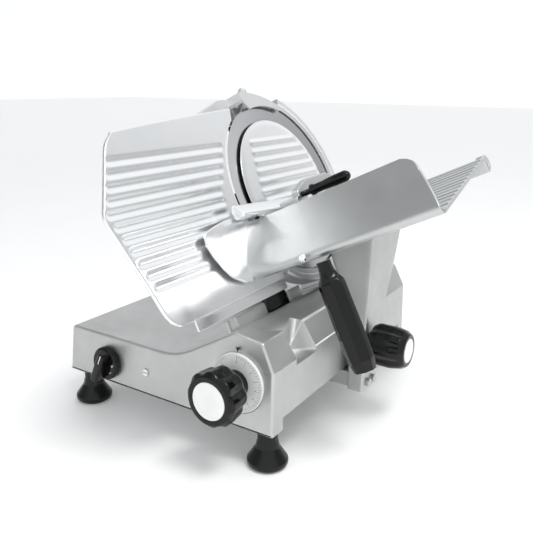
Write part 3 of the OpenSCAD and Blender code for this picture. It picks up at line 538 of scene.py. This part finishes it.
knife_y, knife_s, knife_p, knife_radius = 226, 178, 319, 125
plate_rim, plate_thickness = 1.2, 4.9
groove_count, groove_pitch, groove_half_width, groove_depth = 11, 14.3, 7.1, 1.7
rows = np.linspace(0, 1, 250)[:, None]
columns = np.linspace(0, 1, 120)[None, :]
top_s = np.interp(columns, [0, 0.26, 0.69, 1], [281, 287, 295.5, 301]) - plate_rim
plate_s = 56 + plate_rim + rows * (top_s - 56 - plate_rim)
left = soft_line(plate_s, [56, 62, 74, 105, 182, 190, 264, 272, 281],
                 [-72, -84, -91, -99, -123, -124, -88.7, -83, -71], 8)
right = np.interp(plate_s, [56, 84, 178, 301], [138, 138, 112, 160])
round_knife = knife_y - np.sqrt(np.maximum((knife_radius + 2.8) ** 2 - (plate_s - knife_s) ** 2, 0))
right = np.minimum(right, round_knife)
plate_y = left + plate_rim + columns * (right - left - 2 * plate_rim)
sink = np.zeros_like(plate_y)
for i in range(groove_count):
    # the grooves start at the plate's near edge, which slants out and then back in
    start = -91 - 6 * i if i < 4 else -133.4 + 4.6 * i
    sink = np.maximum(sink, groove(plate_y, plate_s, start, 196 - 0.62 * i * i,
                                   247.6 - groove_pitch * i, groove_half_width))
plate_front = blade(plate_y, plate_s, knife_p - 0.05 - groove_depth * sink)
plate_back = blade(plate_y, plate_s, knife_p - plate_thickness + 0 * sink)
thickness_plate = slab("thickness_plate", plate_front, plate_back, plate_rim)
polished = satin_metal("polished_plate", (0.84, 0.85, 0.86), (0.89, 0.895, 0.9), 0.24, 900,
                       brushed=(1, 0.03, 1), depth=0.000003, patch=9)
settle(thickness_plate, "gauge", polished, "polished_aluminium", "gauge_plate")
plate_lip = leaning_box(-50, 138, 43.2, 58, knife_p - plate_thickness, knife_p - 2.5,
                        "thickness_plate_lip", 0.8, 2)
settle(plate_lip, "gauge", polished, "polished_aluminium")

# ---------- knife cover ----------
# A cast disc that shields the knife's middle. Its ribs carry on the lines of the thickness
# plate, and a tie rod through the knife's axle holds it from behind.
cover_radius = 101.6
cover_rib_height, cover_rib_half_width, cover_dish = 1.65, 6.4, 2.15
cover_rows = np.sin(np.linspace(-1, 1, 240) * math.pi / 2 * 0.985)[:, None] * (cover_radius - 1)
cover_half = np.sqrt((cover_radius - 1) ** 2 - cover_rows ** 2)
cover_y = np.linspace(-1, 1, 90)[None, :] * cover_half
cover_s = cover_rows + 0 * cover_y
rise = np.zeros_like(cover_y)
for i in range(-5, 6):
    start = -66 + abs(i) * 3
    rise = np.maximum(rise, groove(cover_y, cover_s, start, 190, i * groove_pitch - 3,
                                   cover_rib_half_width))
edge_fall = np.clip((np.hypot(cover_y, cover_s) - 91) / 8, 0, 1) ** 2
cover_top = cover_dish + cover_rib_height * rise * (1 - edge_fall) - 0.5 * edge_fall
cover_front = blade(knife_y + cover_y, knife_s + cover_s, knife_p + cover_top)
cover_back = blade(knife_y + cover_y, knife_s + cover_s, knife_p + 0.65 + 0 * cover_top)
cover_disc = slab("knife_cover_disc", cover_front, cover_back, 0.9)
settle(cover_disc, "machine", polished, "polished_aluminium", "knife_cover")


def at_knife(x, y, height):
    """A place function for what turns with or round the knife: height leaves its edge plane."""
    return blade(knife_y + x, knife_s + y, knife_p + height)


cover_boss = lathe("knife_cover_boss", turned_profile([
    (0, -2.0, 0), (4.9, -2.0, 0.3), (4.9, -7.9, 0.4), (14, -7.9, 0.8), (14, 0.6, 0.3), (0, 0.6, 0)]),
    at_knife)
settle(cover_boss, "machine", polished, "polished_aluminium")

# ---------- knobs ----------
# Black phenolic knobs with soft lobes for wet hands. Each is moulded round a brass insert, and
# the two that face the operator's side are closed with a plain white disc.
phenolic = moulded("black_phenolic", (0.0025, 0.0027, 0.0026), 0.09, 600, 0.000003, shine=0.3)
index_x, index_z = 281.8, 103


def facing_front(x0, z0):
    """A place function for pieces that turn about Y: height grows towards the operator."""
    return lambda x, z, height: machine(x0 + x, -height, z0 + z)


def facing_right(y0, z0):
    """A place function for pieces that turn about X: height grows to the right."""
    return lambda y, z, height: machine(height, y0 + y, z0 + z)


def lobes(count, depth, low, high):
    """Scallops between the heights low and high: each dips like a cosine, and fades at its ends."""
    def wave(angle, height):
        share = np.clip((height - low) / (high - low), 0, 1)
        fade = np.sin(math.pi * share) ** 0.35
        return 1 - depth * fade * (0.5 - 0.5 * np.cos(count * angle)) ** 1.6
    return wave


knob_profile = turned_profile([
    (0, 30, 0), (6.05, 30, 0.3), (6.05, 3.5, 0.3), (17, 3.5, 1), (17, 19, 2), (26, 20, 5),
    (31.4, 27, 8), (33, 42, 12), (33, 52, 3), (28, 57, 3), (22.2, 57, 0.8), (22.2, 55, 0.2),
    (0, 55, 0)], 7)
index_knob = lathe("index_knob_lobed", knob_profile, facing_front(index_x, index_z), 192,
                   lobes(8, 0.13, 19, 56), 50)
settle(index_knob, "index", phenolic, "black_plastic", "index_knob")
clamp_y, clamp_z = 193, 105
clamp_profile = turned_profile([
    (0, 335.2, 0), (5, 335.2, 0.4), (5, 361.5, 0.3), (12.8, 361.5, 1), (12.8, 366.8, 0.6),
    (24, 367, 5),
    (28.6, 376, 10), (28.6, 398, 9), (26, 410, 5), (21, 416.9, 3), (16.2, 416.9, 0.6),
    (16.2, 415.1, 0.2), (0, 415.1, 0)], 7)
clamp_knob = lathe("clamp_knob_lobed", clamp_profile, facing_right(clamp_y, clamp_z), 192,
                   lobes(8, 0.11, 366, 414), 50)
settle(clamp_knob, "clamp", phenolic, "black_plastic", "clamp_knob")
rear_profile = turned_profile([
    (0, -83.9, 0), (4.9, -83.9, 0.2), (4.9, -60.4, 0.2), (11.9, -60.4, 0.6), (12, -71, 1.5),
    (20.5, -72, 3), (22, -78, 4), (21.5, -88.5, 3), (16, -90, 2), (0, -90, 0)], 6)
cover_knob = lathe("cover_knob_lobed", rear_profile, at_knife, 144, lobes(6, 0.14, -90, -71), 50)
settle(cover_knob, "cover_knob", phenolic, "black_plastic", "cover_knob")

# ---------- dial ring and its marks ----------
# A white anodised ring turns with the index knob. Its graduations and figures are engraved and
# filled with black, and a pointer on the casting shows the setting.
dial_white = painted("dial_white", (0.66, 0.67, 0.67), (0.74, 0.745, 0.74), 0.34, 30)
ink = painted("black_ink", (0.01, 0.01, 0.011), (0.03, 0.03, 0.032), 0.45, 60)
dial_face = 3.3
dial_ring = lathe("graduated_ring", turned_profile([
    (0, -1.2, 0), (6.05, -1.2, 0.2), (36, -1.2, 0.4), (36, dial_face, 0.9), (6.05, dial_face, 0.2),
    (0, dial_face, 0)]), facing_front(index_x, index_z), 144)
settle(dial_ring, "index", dial_white, "white_label", "dial_ring")


def bars(angles, inner, outer, half_width, low, high, place):
    """Flat bars that point outwards at the angles: eight corners and six faces each."""
    angles = np.asarray(angles, float)[:, None]
    reach_in = np.broadcast_to(np.asarray(inner, float), angles[:, 0].shape)[:, None]
    along = np.where([[0, 1, 1, 0, 0, 1, 1, 0]], outer, reach_in)
    side = np.array([[-1, -1, 1, 1, -1, -1, 1, 1]]) * half_width
    height = np.array([[low] * 4 + [high] * 4]) + 0 * angles
    x = along * np.cos(angles) - side * np.sin(angles)
    y = along * np.sin(angles) + side * np.cos(angles)
    sides = np.array([(0, 3, 2, 1), (4, 5, 6, 7), (0, 1, 5, 4), (1, 2, 6, 5), (2, 3, 7, 6),
                      (3, 0, 4, 7)])
    faces = (np.arange(len(angles))[:, None, None] * 8 + sides).reshape(-1, 4)
    return place(x, y, height).reshape(-1, 3), faces


dial_step = 2 * math.pi / 60
ticks = np.arange(56)
tick_angle = math.pi / 2 - ticks * dial_step
tick_inner = np.where(ticks % 4 == 0, 28.8, np.where(ticks % 2 == 0, 30.4, 31.2))
tick_points, tick_faces = bars(tick_angle, tick_inner, 34.2, 0.16, dial_face - 0.2,
                               dial_face + 0.08, facing_front(index_x, index_z))
dial_ticks = add_piece("dial_graduations", tick_points, tick_faces.tolist(), 20)
settle(dial_ticks, "index", ink, "black_plastic")


def figure(name, words, size, angle, radius, height, place, tipped=0.0):
    """A plain printed figure: letter outlines made solid, then turned and set on the face."""
    curve = bpy.data.curves.new(name, "FONT")
    curve.body = words
    curve.size = size
    curve.extrude = 0.06
    curve.align_x, curve.align_y = "CENTER", "CENTER"
    flat = bpy.data.objects.new(name, curve)
    bpy.context.scene.collection.objects.link(flat)
    bpy.context.view_layer.update()
    mesh = bpy.data.meshes.new_from_object(
        flat.evaluated_get(bpy.context.evaluated_depsgraph_get()))
    bpy.data.objects.remove(flat)
    spots = np.empty(len(mesh.vertices) * 3)
    mesh.vertices.foreach_get("co", spots)
    spots = spots.reshape(-1, 3)
    turn = angle - math.pi / 2 + tipped
    x = spots[:, 0] * math.cos(turn) - spots[:, 1] * math.sin(turn) + radius * math.cos(angle)
    y = spots[:, 0] * math.sin(turn) + spots[:, 1] * math.cos(turn) + radius * math.sin(angle)
    placed = place(x, y, height + spots[:, 2]) * MM + corner
    mesh.vertices.foreach_set("co", placed.ravel())
    mesh.update()
    piece = bpy.data.objects.new(name, mesh)
    bpy.context.scene.collection.objects.link(piece)
    return piece


for number in range(14):
    angle = math.pi / 2 - number * 4 * dial_step
    mark = figure(f"dial_figure_{number}", str(number), 3.1, angle, 26.3, dial_face + 0.02,
                  facing_front(index_x, index_z))
    settle(mark, "index", ink, "black_plastic")

white_plastic = painted("white_disc", (0.8, 0.8, 0.785), (0.86, 0.86, 0.85), 0.22, 40)
for name, node, body, place, low, radius in (
        ("index_knob_disc", "index_disc", "index", facing_front(index_x, index_z), 55.05, 21.9),
        ("clamp_knob_disc", "clamp_disc", "clamp", facing_right(clamp_y, clamp_z), 415.1, 15.9)):
    disc = lathe(name, turned_profile([
        (0, low, 0), (radius, low, 0.2), (radius, low + 1.9, 0.7), (radius * 0.6, low + 2.3, 4),
        (0, low + 2.35, 0)], 6), place, 96)
    settle(disc, body, white_plastic, "white_label", node)

# ---------- switch knob ----------
# A rotary switch: a round black skirt with a raised bar for the fingers, marked with plain
# white figures for off and on.
switch_x, switch_z, bar_turn = 72, 76, math.radians(24)


def on_switch(x, z, height):
    """A place function on the switch: the bar leans by its resting turn."""
    return machine(switch_x + x * math.cos(bar_turn) + z * math.sin(bar_turn), -height,
                   switch_z - x * math.sin(bar_turn) + z * math.cos(bar_turn))


skirt = lathe("switch_skirt", turned_profile([
    (0, 3.7, 0), (22, 3.7, 0.6), (22, 9.5, 2.5), (19.5, 12, 1.2), (0, 12, 0)], 6), on_switch, 96)
settle(skirt, "switch", phenolic, "black_plastic", "switch_knob")
bar = prism("switch_bar", rounded([
    (-5.5, -24.5, 4), (5.5, -24.5, 4), (6.2, 0, 30), (5.5, 20.5, 4), (-5.5, 20.5, 4),
    (-6.2, 0, 30)]), on_switch, 11.5, 24.4, 1.8)
settle(bar, "switch", phenolic, "black_plastic")
white_print = painted("white_print", (0.78, 0.78, 0.77), (0.86, 0.86, 0.85), 0.5, 60)
line_points, line_faces = bars([math.pi / 2], 6, 19, 0.6, 24.2, 24.5, on_switch)
settle(add_piece("switch_line", line_points, line_faces.tolist(), 20), "switch", white_print,
       "white_label")
for name, words, angle in (("switch_figure_0", "0", 0.45), ("switch_figure_1", "1", -0.3)):
    settle(figure(name, words, 6, angle, 15, 12.02, on_switch, math.pi / 2 - angle - bar_turn),
           "switch", white_print, "white_label")

# ---------- food tray ----------
# One aluminium extrusion: the panel that faces the operator folds in a wide bend into a ribbed
# floor, and a lip hangs from the floor's far edge. The panel flares out to the guard at its
# near end, and its far end is cut in a long round curve.
fold = np.array([58.0, 72.0])
tray_p, tray_length, panel_height, floor_width, tray_wall = knife_p + 8, 254, 83, 221, 4.5
floor_way = np.array([math.cos(math.radians(10.4)), math.sin(math.radians(10.4))])
panel_way = np.array([math.cos(math.radians(57.7)), math.sin(math.radians(57.7))])
floor_out = np.array([-floor_way[1], floor_way[0]])
panel_out = np.array([-panel_way[1], panel_way[0]])


def spread(points, count):
    """Points laid out again at even steps along the same line."""
    length = np.concatenate([[0], np.cumsum(np.linalg.norm(np.diff(points, axis=0), axis=1))])
    even = np.linspace(0, length[-1], count)
    return np.stack([np.interp(even, length, points[:, k]) for k in range(2)], 1)


def tray_line(corners, count=300):
    """A bent line through (way, share along it, height off it, radius) corners of the section."""
    spots = []
    for way, out, along, off, radius in corners:
        place = fold + along * way + off * out
        spots.append((place[0], place[1], radius))
    return spread(rounded(spots, 10, closed=False), count)


outer_skin = tray_line([
    (panel_way, panel_out, panel_height - 1, -0.4, 0),
    (panel_way, panel_out, -5.9, 0, 7),
    (floor_way, floor_out, floor_width - tray_wall, -tray_wall, 3),
    (floor_way, floor_out, floor_width - tray_wall, -20.5, 0)])
inner_skin = tray_line([
    (panel_way, panel_out, panel_height - 1, -tray_wall + 0.4, 0),
    (floor_way, floor_out, 6.1, 0, 4),
    (floor_way, floor_out, floor_width - 0.1, 0, 5),
    (floor_way, floor_out, floor_width - 0.1, -20.5, 0)])
floor_share = (inner_skin - fold) @ floor_way
on_floor = (np.abs((inner_skin - fold) @ floor_out) < 0.05) & (floor_share < 212)
rib = np.clip(1.2 - 2.4 * np.abs((floor_share - 9.75) % 15.5 / 15.5 - 0.5), 0, 1)
rib = np.clip((rib - 0.6) * 5, 0, 1) * on_floor
inner_skin = inner_skin + floor_out * (1.3 * rib)[:, None]


def panel_share(line):
    """How far up the panel each point of the section lies, in millimetres, and 0 on the floor."""
    off = (line - fold) @ panel_out
    return np.where(np.abs(off) < 8, np.clip((line - fold) @ panel_way, 0, None), 0)


def tray_end(line):
    """Length of the tray at each point: full on the floor, then a round curve up the panel."""
    up = panel_share(line)
    slant = tray_length - 17 * (up / 61) ** 1.3
    curl = 208 + np.sqrt(np.maximum(24 ** 2 - np.maximum(up - 59, 0) ** 2, 0)) * 1.2
    return np.where(up > 59, np.minimum(slant, curl), slant)


stations = np.concatenate([np.linspace(0, 20, 25), np.linspace(20, 214, 46)[1:],
                           np.linspace(214, 254, 24)[1:]]) / tray_length
flare_out, flare_reach_top, flare_reach_more = 13.0, 12.0, 34.0


def tray_skin(line, flared):
    """The section carried along the knife's axis. If flared, the panel's near end leans out by
    a power of what is left of the flare's reach, which is longest at the panel's foot."""
    along = 0.9 + stations[:, None] * (tray_end(line)[None, :] - 1.8)
    y, s = line[None, :, 0] + 0 * along, line[None, :, 1] + 0 * along
    if flared:
        up = panel_share(line)[None, :]
        weight = np.clip(up / 16, 0, 1) * np.clip((84 - up) / 14, 0, 1)
        reach = flare_reach_top + flare_reach_more * np.clip(1 - up / 90, 0, 1)
        bend = np.clip(1 - along / reach, 0, 1)
        out = flare_out * bend ** 1.7 * weight * weight * (3 - 2 * weight)
        y, s = y + out * panel_out[0], s + out * panel_out[1]
    return blade(y, s, tray_p + along)


food_tray = slab("food_tray_extrusion", tray_skin(inner_skin, False), tray_skin(outer_skin, True),
                 0.9, crease=40)
tray_satin = satin_metal("tray_satin", (0.5, 0.51, 0.51), (0.58, 0.59, 0.585), 0.34, 500,
                         brushed=(0.05, 1.5, 1.5), turned=(0, math.acos(tilt_cos), 0),
                         depth=0.000004, patch=8)
settle(food_tray, "carriage", tray_satin, "polished_aluminium", "food_tray")
for name, p in (("rod_lug_near", tray_p + 2), ("rod_lug_far", tray_p + tray_length - 12)):
    lug = prism(name, rounded([
        (275, 94, 3), (292, 92, 10), (302, 103, 10), (291, 114, 10), (275, 113, 3)]),
        blade, p + 0.1, p + 9.9, 1.2)
    settle(lug, "carriage", tray_satin, "polished_aluminium")

# ---------- hand guard ----------
# A flange at the tray's near end keeps the fingers off the knife. It is cast with the tray and
# polished on its face.
guard_outline = rounded([
    (3, 144, 6), (25, 149, 30), (47, 152, 40), (76, 153, 8), (84, 147, 6), (92, 142, 4),
    (101.5, 142, 2), (66, 85, 10), (58, 70, 3), (44, 73, 14), (25, 84, 20), (15, 97, 20),
    (6, 114, 20), (0.5, 130, 10)], 6)
guard = prism("hand_guard_flange", guard_outline, blade, tray_p - 2.75, tray_p + 1.4, 1.3)
settle(guard, "carriage", polished, "polished_aluminium", "hand_guard")

# ---------- tray grip ----------
# A black moulded handle hangs from the panel's bottom edge. Its flats meet in long bevels, and
# one screw holds it.
grip_y, grip_p, grip_end = 60, 429, -66
levels = np.array([65.5, 56, 48, 40, 20, -20, grip_end + 12, grip_end + 4, grip_end + 0.3])
half_p = np.array([8, 8.2, 10, 15.3, 15.4, 15.5, 15, 13.4, 12.6])
half_y = np.array([8, 8.2, 9.5, 13.4, 13.7, 14, 13, 11, 10])
fine_levels = np.linspace(levels[0], levels[-1], 70)
flat, bevel_round = 0.42, 0.07
flats = np.array([[1, flat], [flat, 1], [-flat, 1], [-1, flat], [-1, -flat], [-flat, -1],
                  [flat, -1], [1, -flat]])
grip_section = rounded(np.hstack([flats, np.full((8, 1), bevel_round)]), 5)
unit_y, unit_p = grip_section[:, 0], grip_section[:, 1]
soft_p = soft_line(fine_levels[::-1], levels[::-1], half_p[::-1], 6)[::-1, None]
soft_y = soft_line(fine_levels[::-1], levels[::-1], half_y[::-1], 6)[::-1, None]
grip_rings = blade(grip_y + soft_y * unit_y * 0.99, fine_levels[:, None] + 0 * unit_y,
                   grip_p + soft_p * unit_p * 0.985)
tray_grip = ring_solid("tray_grip_moulding", grip_rings, 30)
settle(tray_grip, "carriage", phenolic, "black_plastic", "tray_grip")

# ---------- carriage arm ----------
# A cast aluminium arm, hollow inside, carries the tray from the sliding block under the base. Its
# corners are rounded, and its top is machined flat to fit the tray.
arm_levels = np.array([37.2, 60, 88, 122, 167, 212, 296])
arm_left = np.interp(np.linspace(37.2, 296, 60), arm_levels, [338, 338, 337, 334.5, 319, 297, 262])
arm_heights = np.linspace(37.2, 296, 60)
arm_front = soft_line(arm_heights, [37, 124, 217, 300], [175.2, 183.2, 196.2, 207.2], 10)
arm_back = soft_line(arm_heights, [37, 90, 147, 195, 239, 300],
                     [224.8, 230.8, 247.8, 275.8, 296.8, 323.8], 16)
arm_right = np.interp(arm_heights, [37, 296], [360.8, 359.8])
arm_angle = np.linspace(0, 2 * math.pi, 96, endpoint=False)
corner_power = 0.16
side_x = np.sign(np.cos(arm_angle)) * np.abs(np.cos(arm_angle)) ** corner_power
side_y = np.sign(np.sin(arm_angle)) * np.abs(np.sin(arm_angle)) ** corner_power
mid_x, half_x = (arm_left + arm_right)[:, None] / 2, (arm_right - arm_left)[:, None] / 2
mid_y, half_y_arm = (arm_front + arm_back)[:, None] / 2, (arm_back - arm_front)[:, None] / 2
round_end = np.sqrt(np.clip((arm_heights - 34.5) / 7, 0.15, 1))[:, None]
arm_rings = machine(mid_x + half_x * side_x * (0.9 + 0.1 * round_end),
                    mid_y + half_y_arm * side_y * (0.9 + 0.1 * round_end),
                    arm_heights[:, None] + 0 * side_x)
carriage_arm = ring_solid("carriage_arm_casting", arm_rings, 40)


def tray_frame(along, off, p):
    """Points counted along the tray's floor and off it."""
    spot_y = fold[0] + along * floor_way[0] + off * floor_out[0]
    spot_s = fold[1] + along * floor_way[1] + off * floor_out[1]
    return blade(spot_y, spot_s, p)


above_floor = prism("above_floor", box_outline(-120, 380, -tray_wall - 0.05, 300), tray_frame,
                    180, 720)
above_lip = prism("above_lip", box_outline(floor_width - tray_wall - 0.45, 500, -26, 60),
                  tray_frame, 180, 720)
arm_wall, arm_foot = 8, 66
hollow_x = mid_x - arm_wall + half_x * side_x
hollow_y = mid_y + (half_y_arm - arm_wall) * side_y
hollow_rings = machine(hollow_x, hollow_y, arm_heights[:, None] + 0 * side_x)
hollow = ring_solid("arm_hollow", hollow_rings[arm_heights > arm_foot], 40)
cut(carriage_arm, [hollow, above_floor, above_lip])
settle(carriage_arm, "carriage", cast_satin, "cast_aluminium", "carriage_arm")

# ---------- pusher ----------
# The pusher holds the last of the food against the knife. Its aluminium plate, with a sloping
# brow along the top, hangs from a bent arm that swings and slides on the rod behind the tray.
# A slim black grip moves it.
pusher_plate = prism("pusher_plate_pressed", rounded([
    (62, 148, 2), (62, 164, 4), (190, 158, 30), (262, 152, 6), (262, 116, 8), (108, 88, 6),
    (106, 130, 6), (113, 141, 4), (116, 148, 2)]), blade, tray_p + 4.05, tray_p + 8.95, 1.3)
settle(pusher_plate, "pusher", polished, "polished_aluminium", "pusher_plate")
# the brow is a sloping section carried along the plate: it sinks a little, and shrinks at its ends
brow = rounded([(0, 5, 1.5), (0, 9, 2.5), (-14, 21, 3), (-18, 20, 1.5), (-19, 9, 1), (-19, 5, 1)])
brow_top, brow_fall, brow_middle = 165.4, 0.0714, np.array([-9.5, 12.0])
brow_y = np.array([62.5, 63.2, 65, 100, 150, 200, 227, 229, 229.8])[:, None]
brow_size = np.array([0.82, 0.94, 1, 1, 1, 1, 1, 0.94, 0.82])[:, None]
brow_s = (brow_top - brow_fall * (brow_y - 71) + brow_middle[0]
          + (brow[:, 0] - brow_middle[0]) * brow_size)
brow_p = tray_p + brow_middle[1] + (brow[:, 1] - brow_middle[1]) * brow_size
pusher_brow = ring_solid("pusher_plate_brow", blade(brow_y + 0 * brow_s, brow_s, brow_p), 50)
settle(pusher_brow, "pusher", polished, "polished_aluminium")
pusher_bend = prism("pusher_arm_bent", rounded([
    (282, 107, 3), (302, 107, 4), (287, 160, 14), (250, 174, 14), (190, 172, 14), (158, 160, 6),
    (158, 140, 4), (172, 140, 3), (192, 160, 8), (246, 162, 10), (268, 150, 10)]), blade,
    tray_p + 34.1, tray_p + 45.9, 2)
settle(pusher_bend, "pusher", tray_satin, "polished_aluminium", "pusher_arm")
pusher_post = prism("pusher_post", box_outline(150, 174, 132, 152, 4), blade,
                    tray_p + 8.9, tray_p + 46, 1.5)
settle(pusher_post, "pusher", tray_satin, "polished_aluminium")


def at_rod(x, y, height):
    """A place function round the pusher's rod."""
    return blade(291 + x, 103 + y, tray_p + height)


def at_pusher_grip(x, y, height):
    """A place function round the pusher's grip."""
    return blade(166 + x, 152 + y, tray_p + height)


def pipe(name, inner, outer, low, high, edge, place, around=96):
    """A turned ring: its rectangular section, with rounded corners, goes once round the axis."""
    section = box_outline(inner, outer, low, high, edge)
    angle = np.linspace(0, 2 * math.pi, around, endpoint=False)[None, :]
    rings = place(section[:, :1] * np.cos(angle), section[:, :1] * np.sin(angle),
                  section[:, 1:] + 0 * angle)
    count = len(section)
    faces = np.array(grid_faces(count + 1, around, round_columns=True)) % (count * around)
    return add_piece(name, rings, faces.tolist(), 40)


settle(pipe("pusher_hub", 9.1, 12.5, 24.3, 63.7, 0.8, at_rod), "pusher", tray_satin,
       "polished_aluminium")
grip_body = lathe("pusher_grip_turned", turned_profile([
    (0, 46.1, 0), (4, 46.1, 0.4), (4, 61, 0.5), (8, 62, 1), (8, 65, 1.5), (6.4, 68, 3), (6.2, 80, 30),
    (7.4, 100, 30), (7.4, 116, 7), (4, 121, 4), (0, 121.4, 0)], 8), at_pusher_grip, 96, crease=50)
settle(grip_body, "pusher", phenolic, "black_plastic", "pusher_grip")

# ---------- motor ----------
# The motor hangs behind the knife in a drawn aluminium shroud with breathing slots, closed by a
# black moulded cap.
motor_y, motor_s = knife_y + 76, knife_s - 58


def at_motor(x, y, height):
    """A place function round the motor's shaft."""
    return blade(motor_y + x, motor_s + y, knife_p + height)


end_cap = lathe("motor_cap_moulding", turned_profile([
    (0, -163, 0), (60, -163, 0.6), (60, -166, 2.6), (55, -169, 3), (14, -168.2, 3), (12, -169, 1),
    (0, -169, 0)], 6), at_motor, 120)
cap_holes = []
for ring in range(4):
    for turn in np.arange(6 + 4 * ring) * 2 * math.pi / (6 + 4 * ring):
        hole = (19 + 9 * ring) * np.array([math.cos(turn), math.sin(turn)])
        cap_holes.append(lathe("cap_hole", np.array([(2.4, -172.0), (2.4, -160.0)]),
                               lambda x, y, height, h=hole: at_motor(x + h[0], y + h[1], height), 16))
cut(end_cap, cap_holes)
settle(end_cap, "machine", phenolic, "black_plastic", "motor_end_cap")

# ---------- steel, rubber and the other finishes ----------
# What keeps its CAD shape gets its finish here: turned and ground steel, chrome, the motor's
# wound rotor, the belt, the stone and the castings behind the knife.
axis_vector = tuple(knife_axis)


def ringed_steel(name, dark, light, rough, centre, pitch):
    """Steel with fine turning lines: waves of the distance from the axis through the centre."""
    made, nodes, links, shader = node_tree(name)
    place = nodes.new("ShaderNodeTexCoord")
    away = nodes.new("ShaderNodeVectorMath")
    away.operation = "SUBTRACT"
    away.inputs[1].default_value = centre
    links.new(place.outputs["Object"], away.inputs[0])
    across = nodes.new("ShaderNodeVectorMath")
    across.operation = "CROSS_PRODUCT"
    across.inputs[1].default_value = axis_vector
    links.new(away.outputs["Vector"], across.inputs[0])
    radius = nodes.new("ShaderNodeVectorMath")
    radius.operation = "LENGTH"
    links.new(across.outputs["Vector"], radius.inputs[0])
    line = nodes.new("ShaderNodeCombineXYZ")
    links.new(radius.outputs["Value"], line.inputs["X"])
    lines = nodes.new("ShaderNodeTexNoise")
    lines.inputs["Scale"].default_value = 1 / pitch
    lines.inputs["Detail"].default_value = 4
    links.new(line.outputs["Vector"], lines.inputs["Vector"])
    links.new(tint(nodes, links, lines.outputs["Fac"], dark, light), shader.inputs["Base Color"])
    shader.inputs["Metallic"].default_value = 1.0
    links.new(between(nodes, links, lines.outputs["Fac"], rough * 0.75, rough * 1.3),
              shader.inputs["Roughness"])
    links.new(bump(nodes, links, lines.outputs["Fac"], 0.5, 0.00002), shader.inputs["Normal"])
    return made


def plain_finish(name, dark, light, rough, metallic, scale, depth):
    """A plain material with a grain: the same noise sets its tone, its gloss and its height."""
    made, nodes, links, shader = node_tree(name)
    grain = noise(nodes, links, scale, 5)
    edge, rounded_normal = worn_edge(nodes, links, 0.0004)
    links.new(tint(nodes, links, grain, dark, light), shader.inputs["Base Color"])
    shader.inputs["Metallic"].default_value = metallic
    links.new(between(nodes, links, grain, rough * 0.8, rough * 1.25), shader.inputs["Roughness"])
    links.new(bump(nodes, links, grain, 0.5, depth, rounded_normal), shader.inputs["Normal"])
    return made


knife_centre = tuple(knife_spin["pos_m"])
knife_steel = ringed_steel("knife_steel", (0.5, 0.5, 0.51), (0.68, 0.68, 0.69),
                           0.18, knife_centre, 0.0006)
ground_steel = plain_finish("ground_steel", (0.52, 0.52, 0.53), (0.64, 0.64, 0.65),
                            0.24, 1.0, 700, 0.00002)
chrome = plain_finish("bright_chrome", (0.74, 0.75, 0.76), (0.82, 0.83, 0.84),
                      0.09, 1.0, 300, 0.00001)
casting_grey = satin_metal("head_casting", (0.7, 0.705, 0.71), (0.78, 0.785, 0.79), 0.36)
winding = plain_finish("copper_winding", (0.42, 0.17, 0.07), (0.62, 0.3, 0.14),
                       0.38, 0.9, 900, 0.0002)
belt_rubber = plain_finish("belt_rubber", (0.012, 0.012, 0.013), (0.03, 0.03, 0.03),
                           0.7, 0.0, 1200, 0.00008)
stone_grit = plain_finish("stone_grit", (0.16, 0.13, 0.11), (0.34, 0.29, 0.26),
                          0.85, 0.0, 1600, 0.0003)
white_case = plain_finish("capacitor_case", (0.66, 0.66, 0.64), (0.74, 0.74, 0.72),
                          0.4, 0.0, 200, 0.00003)
finishes = {
    casting_grey: ["knife_housing", "sharpener_cover"],
    cast_satin: ["motor_shroud", "carriage_block", "arm_bolts", "pusher_sleeve"],
    knife_steel: ["knife", "knife_hub"],
    chrome: ["sharpener_knob", "pusher_rod", "grip_screw", "panel_screw", "knife_screws"],
    ground_steel: [
        "bottom_plate", "bottom_plate_screws", "foot_bolts", "housing_bolts", "knife_axle",
        "bearing_inner_races", "bearing_balls", "bearing_outer_races", "cover_tie_rod",
        "sharpener_post", "motor_can", "motor_pulley", "carriage_rod", "guide_bar", "gauge_rod",
        "gauge_slider", "index_cam"],
    phenolic: ["switch_body", "cable_gland", "motor_fan", "gauge_bracket",
               "stone_button", "dial_pointer"],
    winding: ["motor_rotor"],
    belt_rubber: ["drive_belt"],
    stone_grit: ["grinding_stone"],
    white_case: ["run_capacitor"],
}
for finish, names in finishes.items():
    for name in names:
        node_mesh = frame["nodes"][name].data
        node_mesh.materials.clear()
        node_mesh.materials.append(finish)
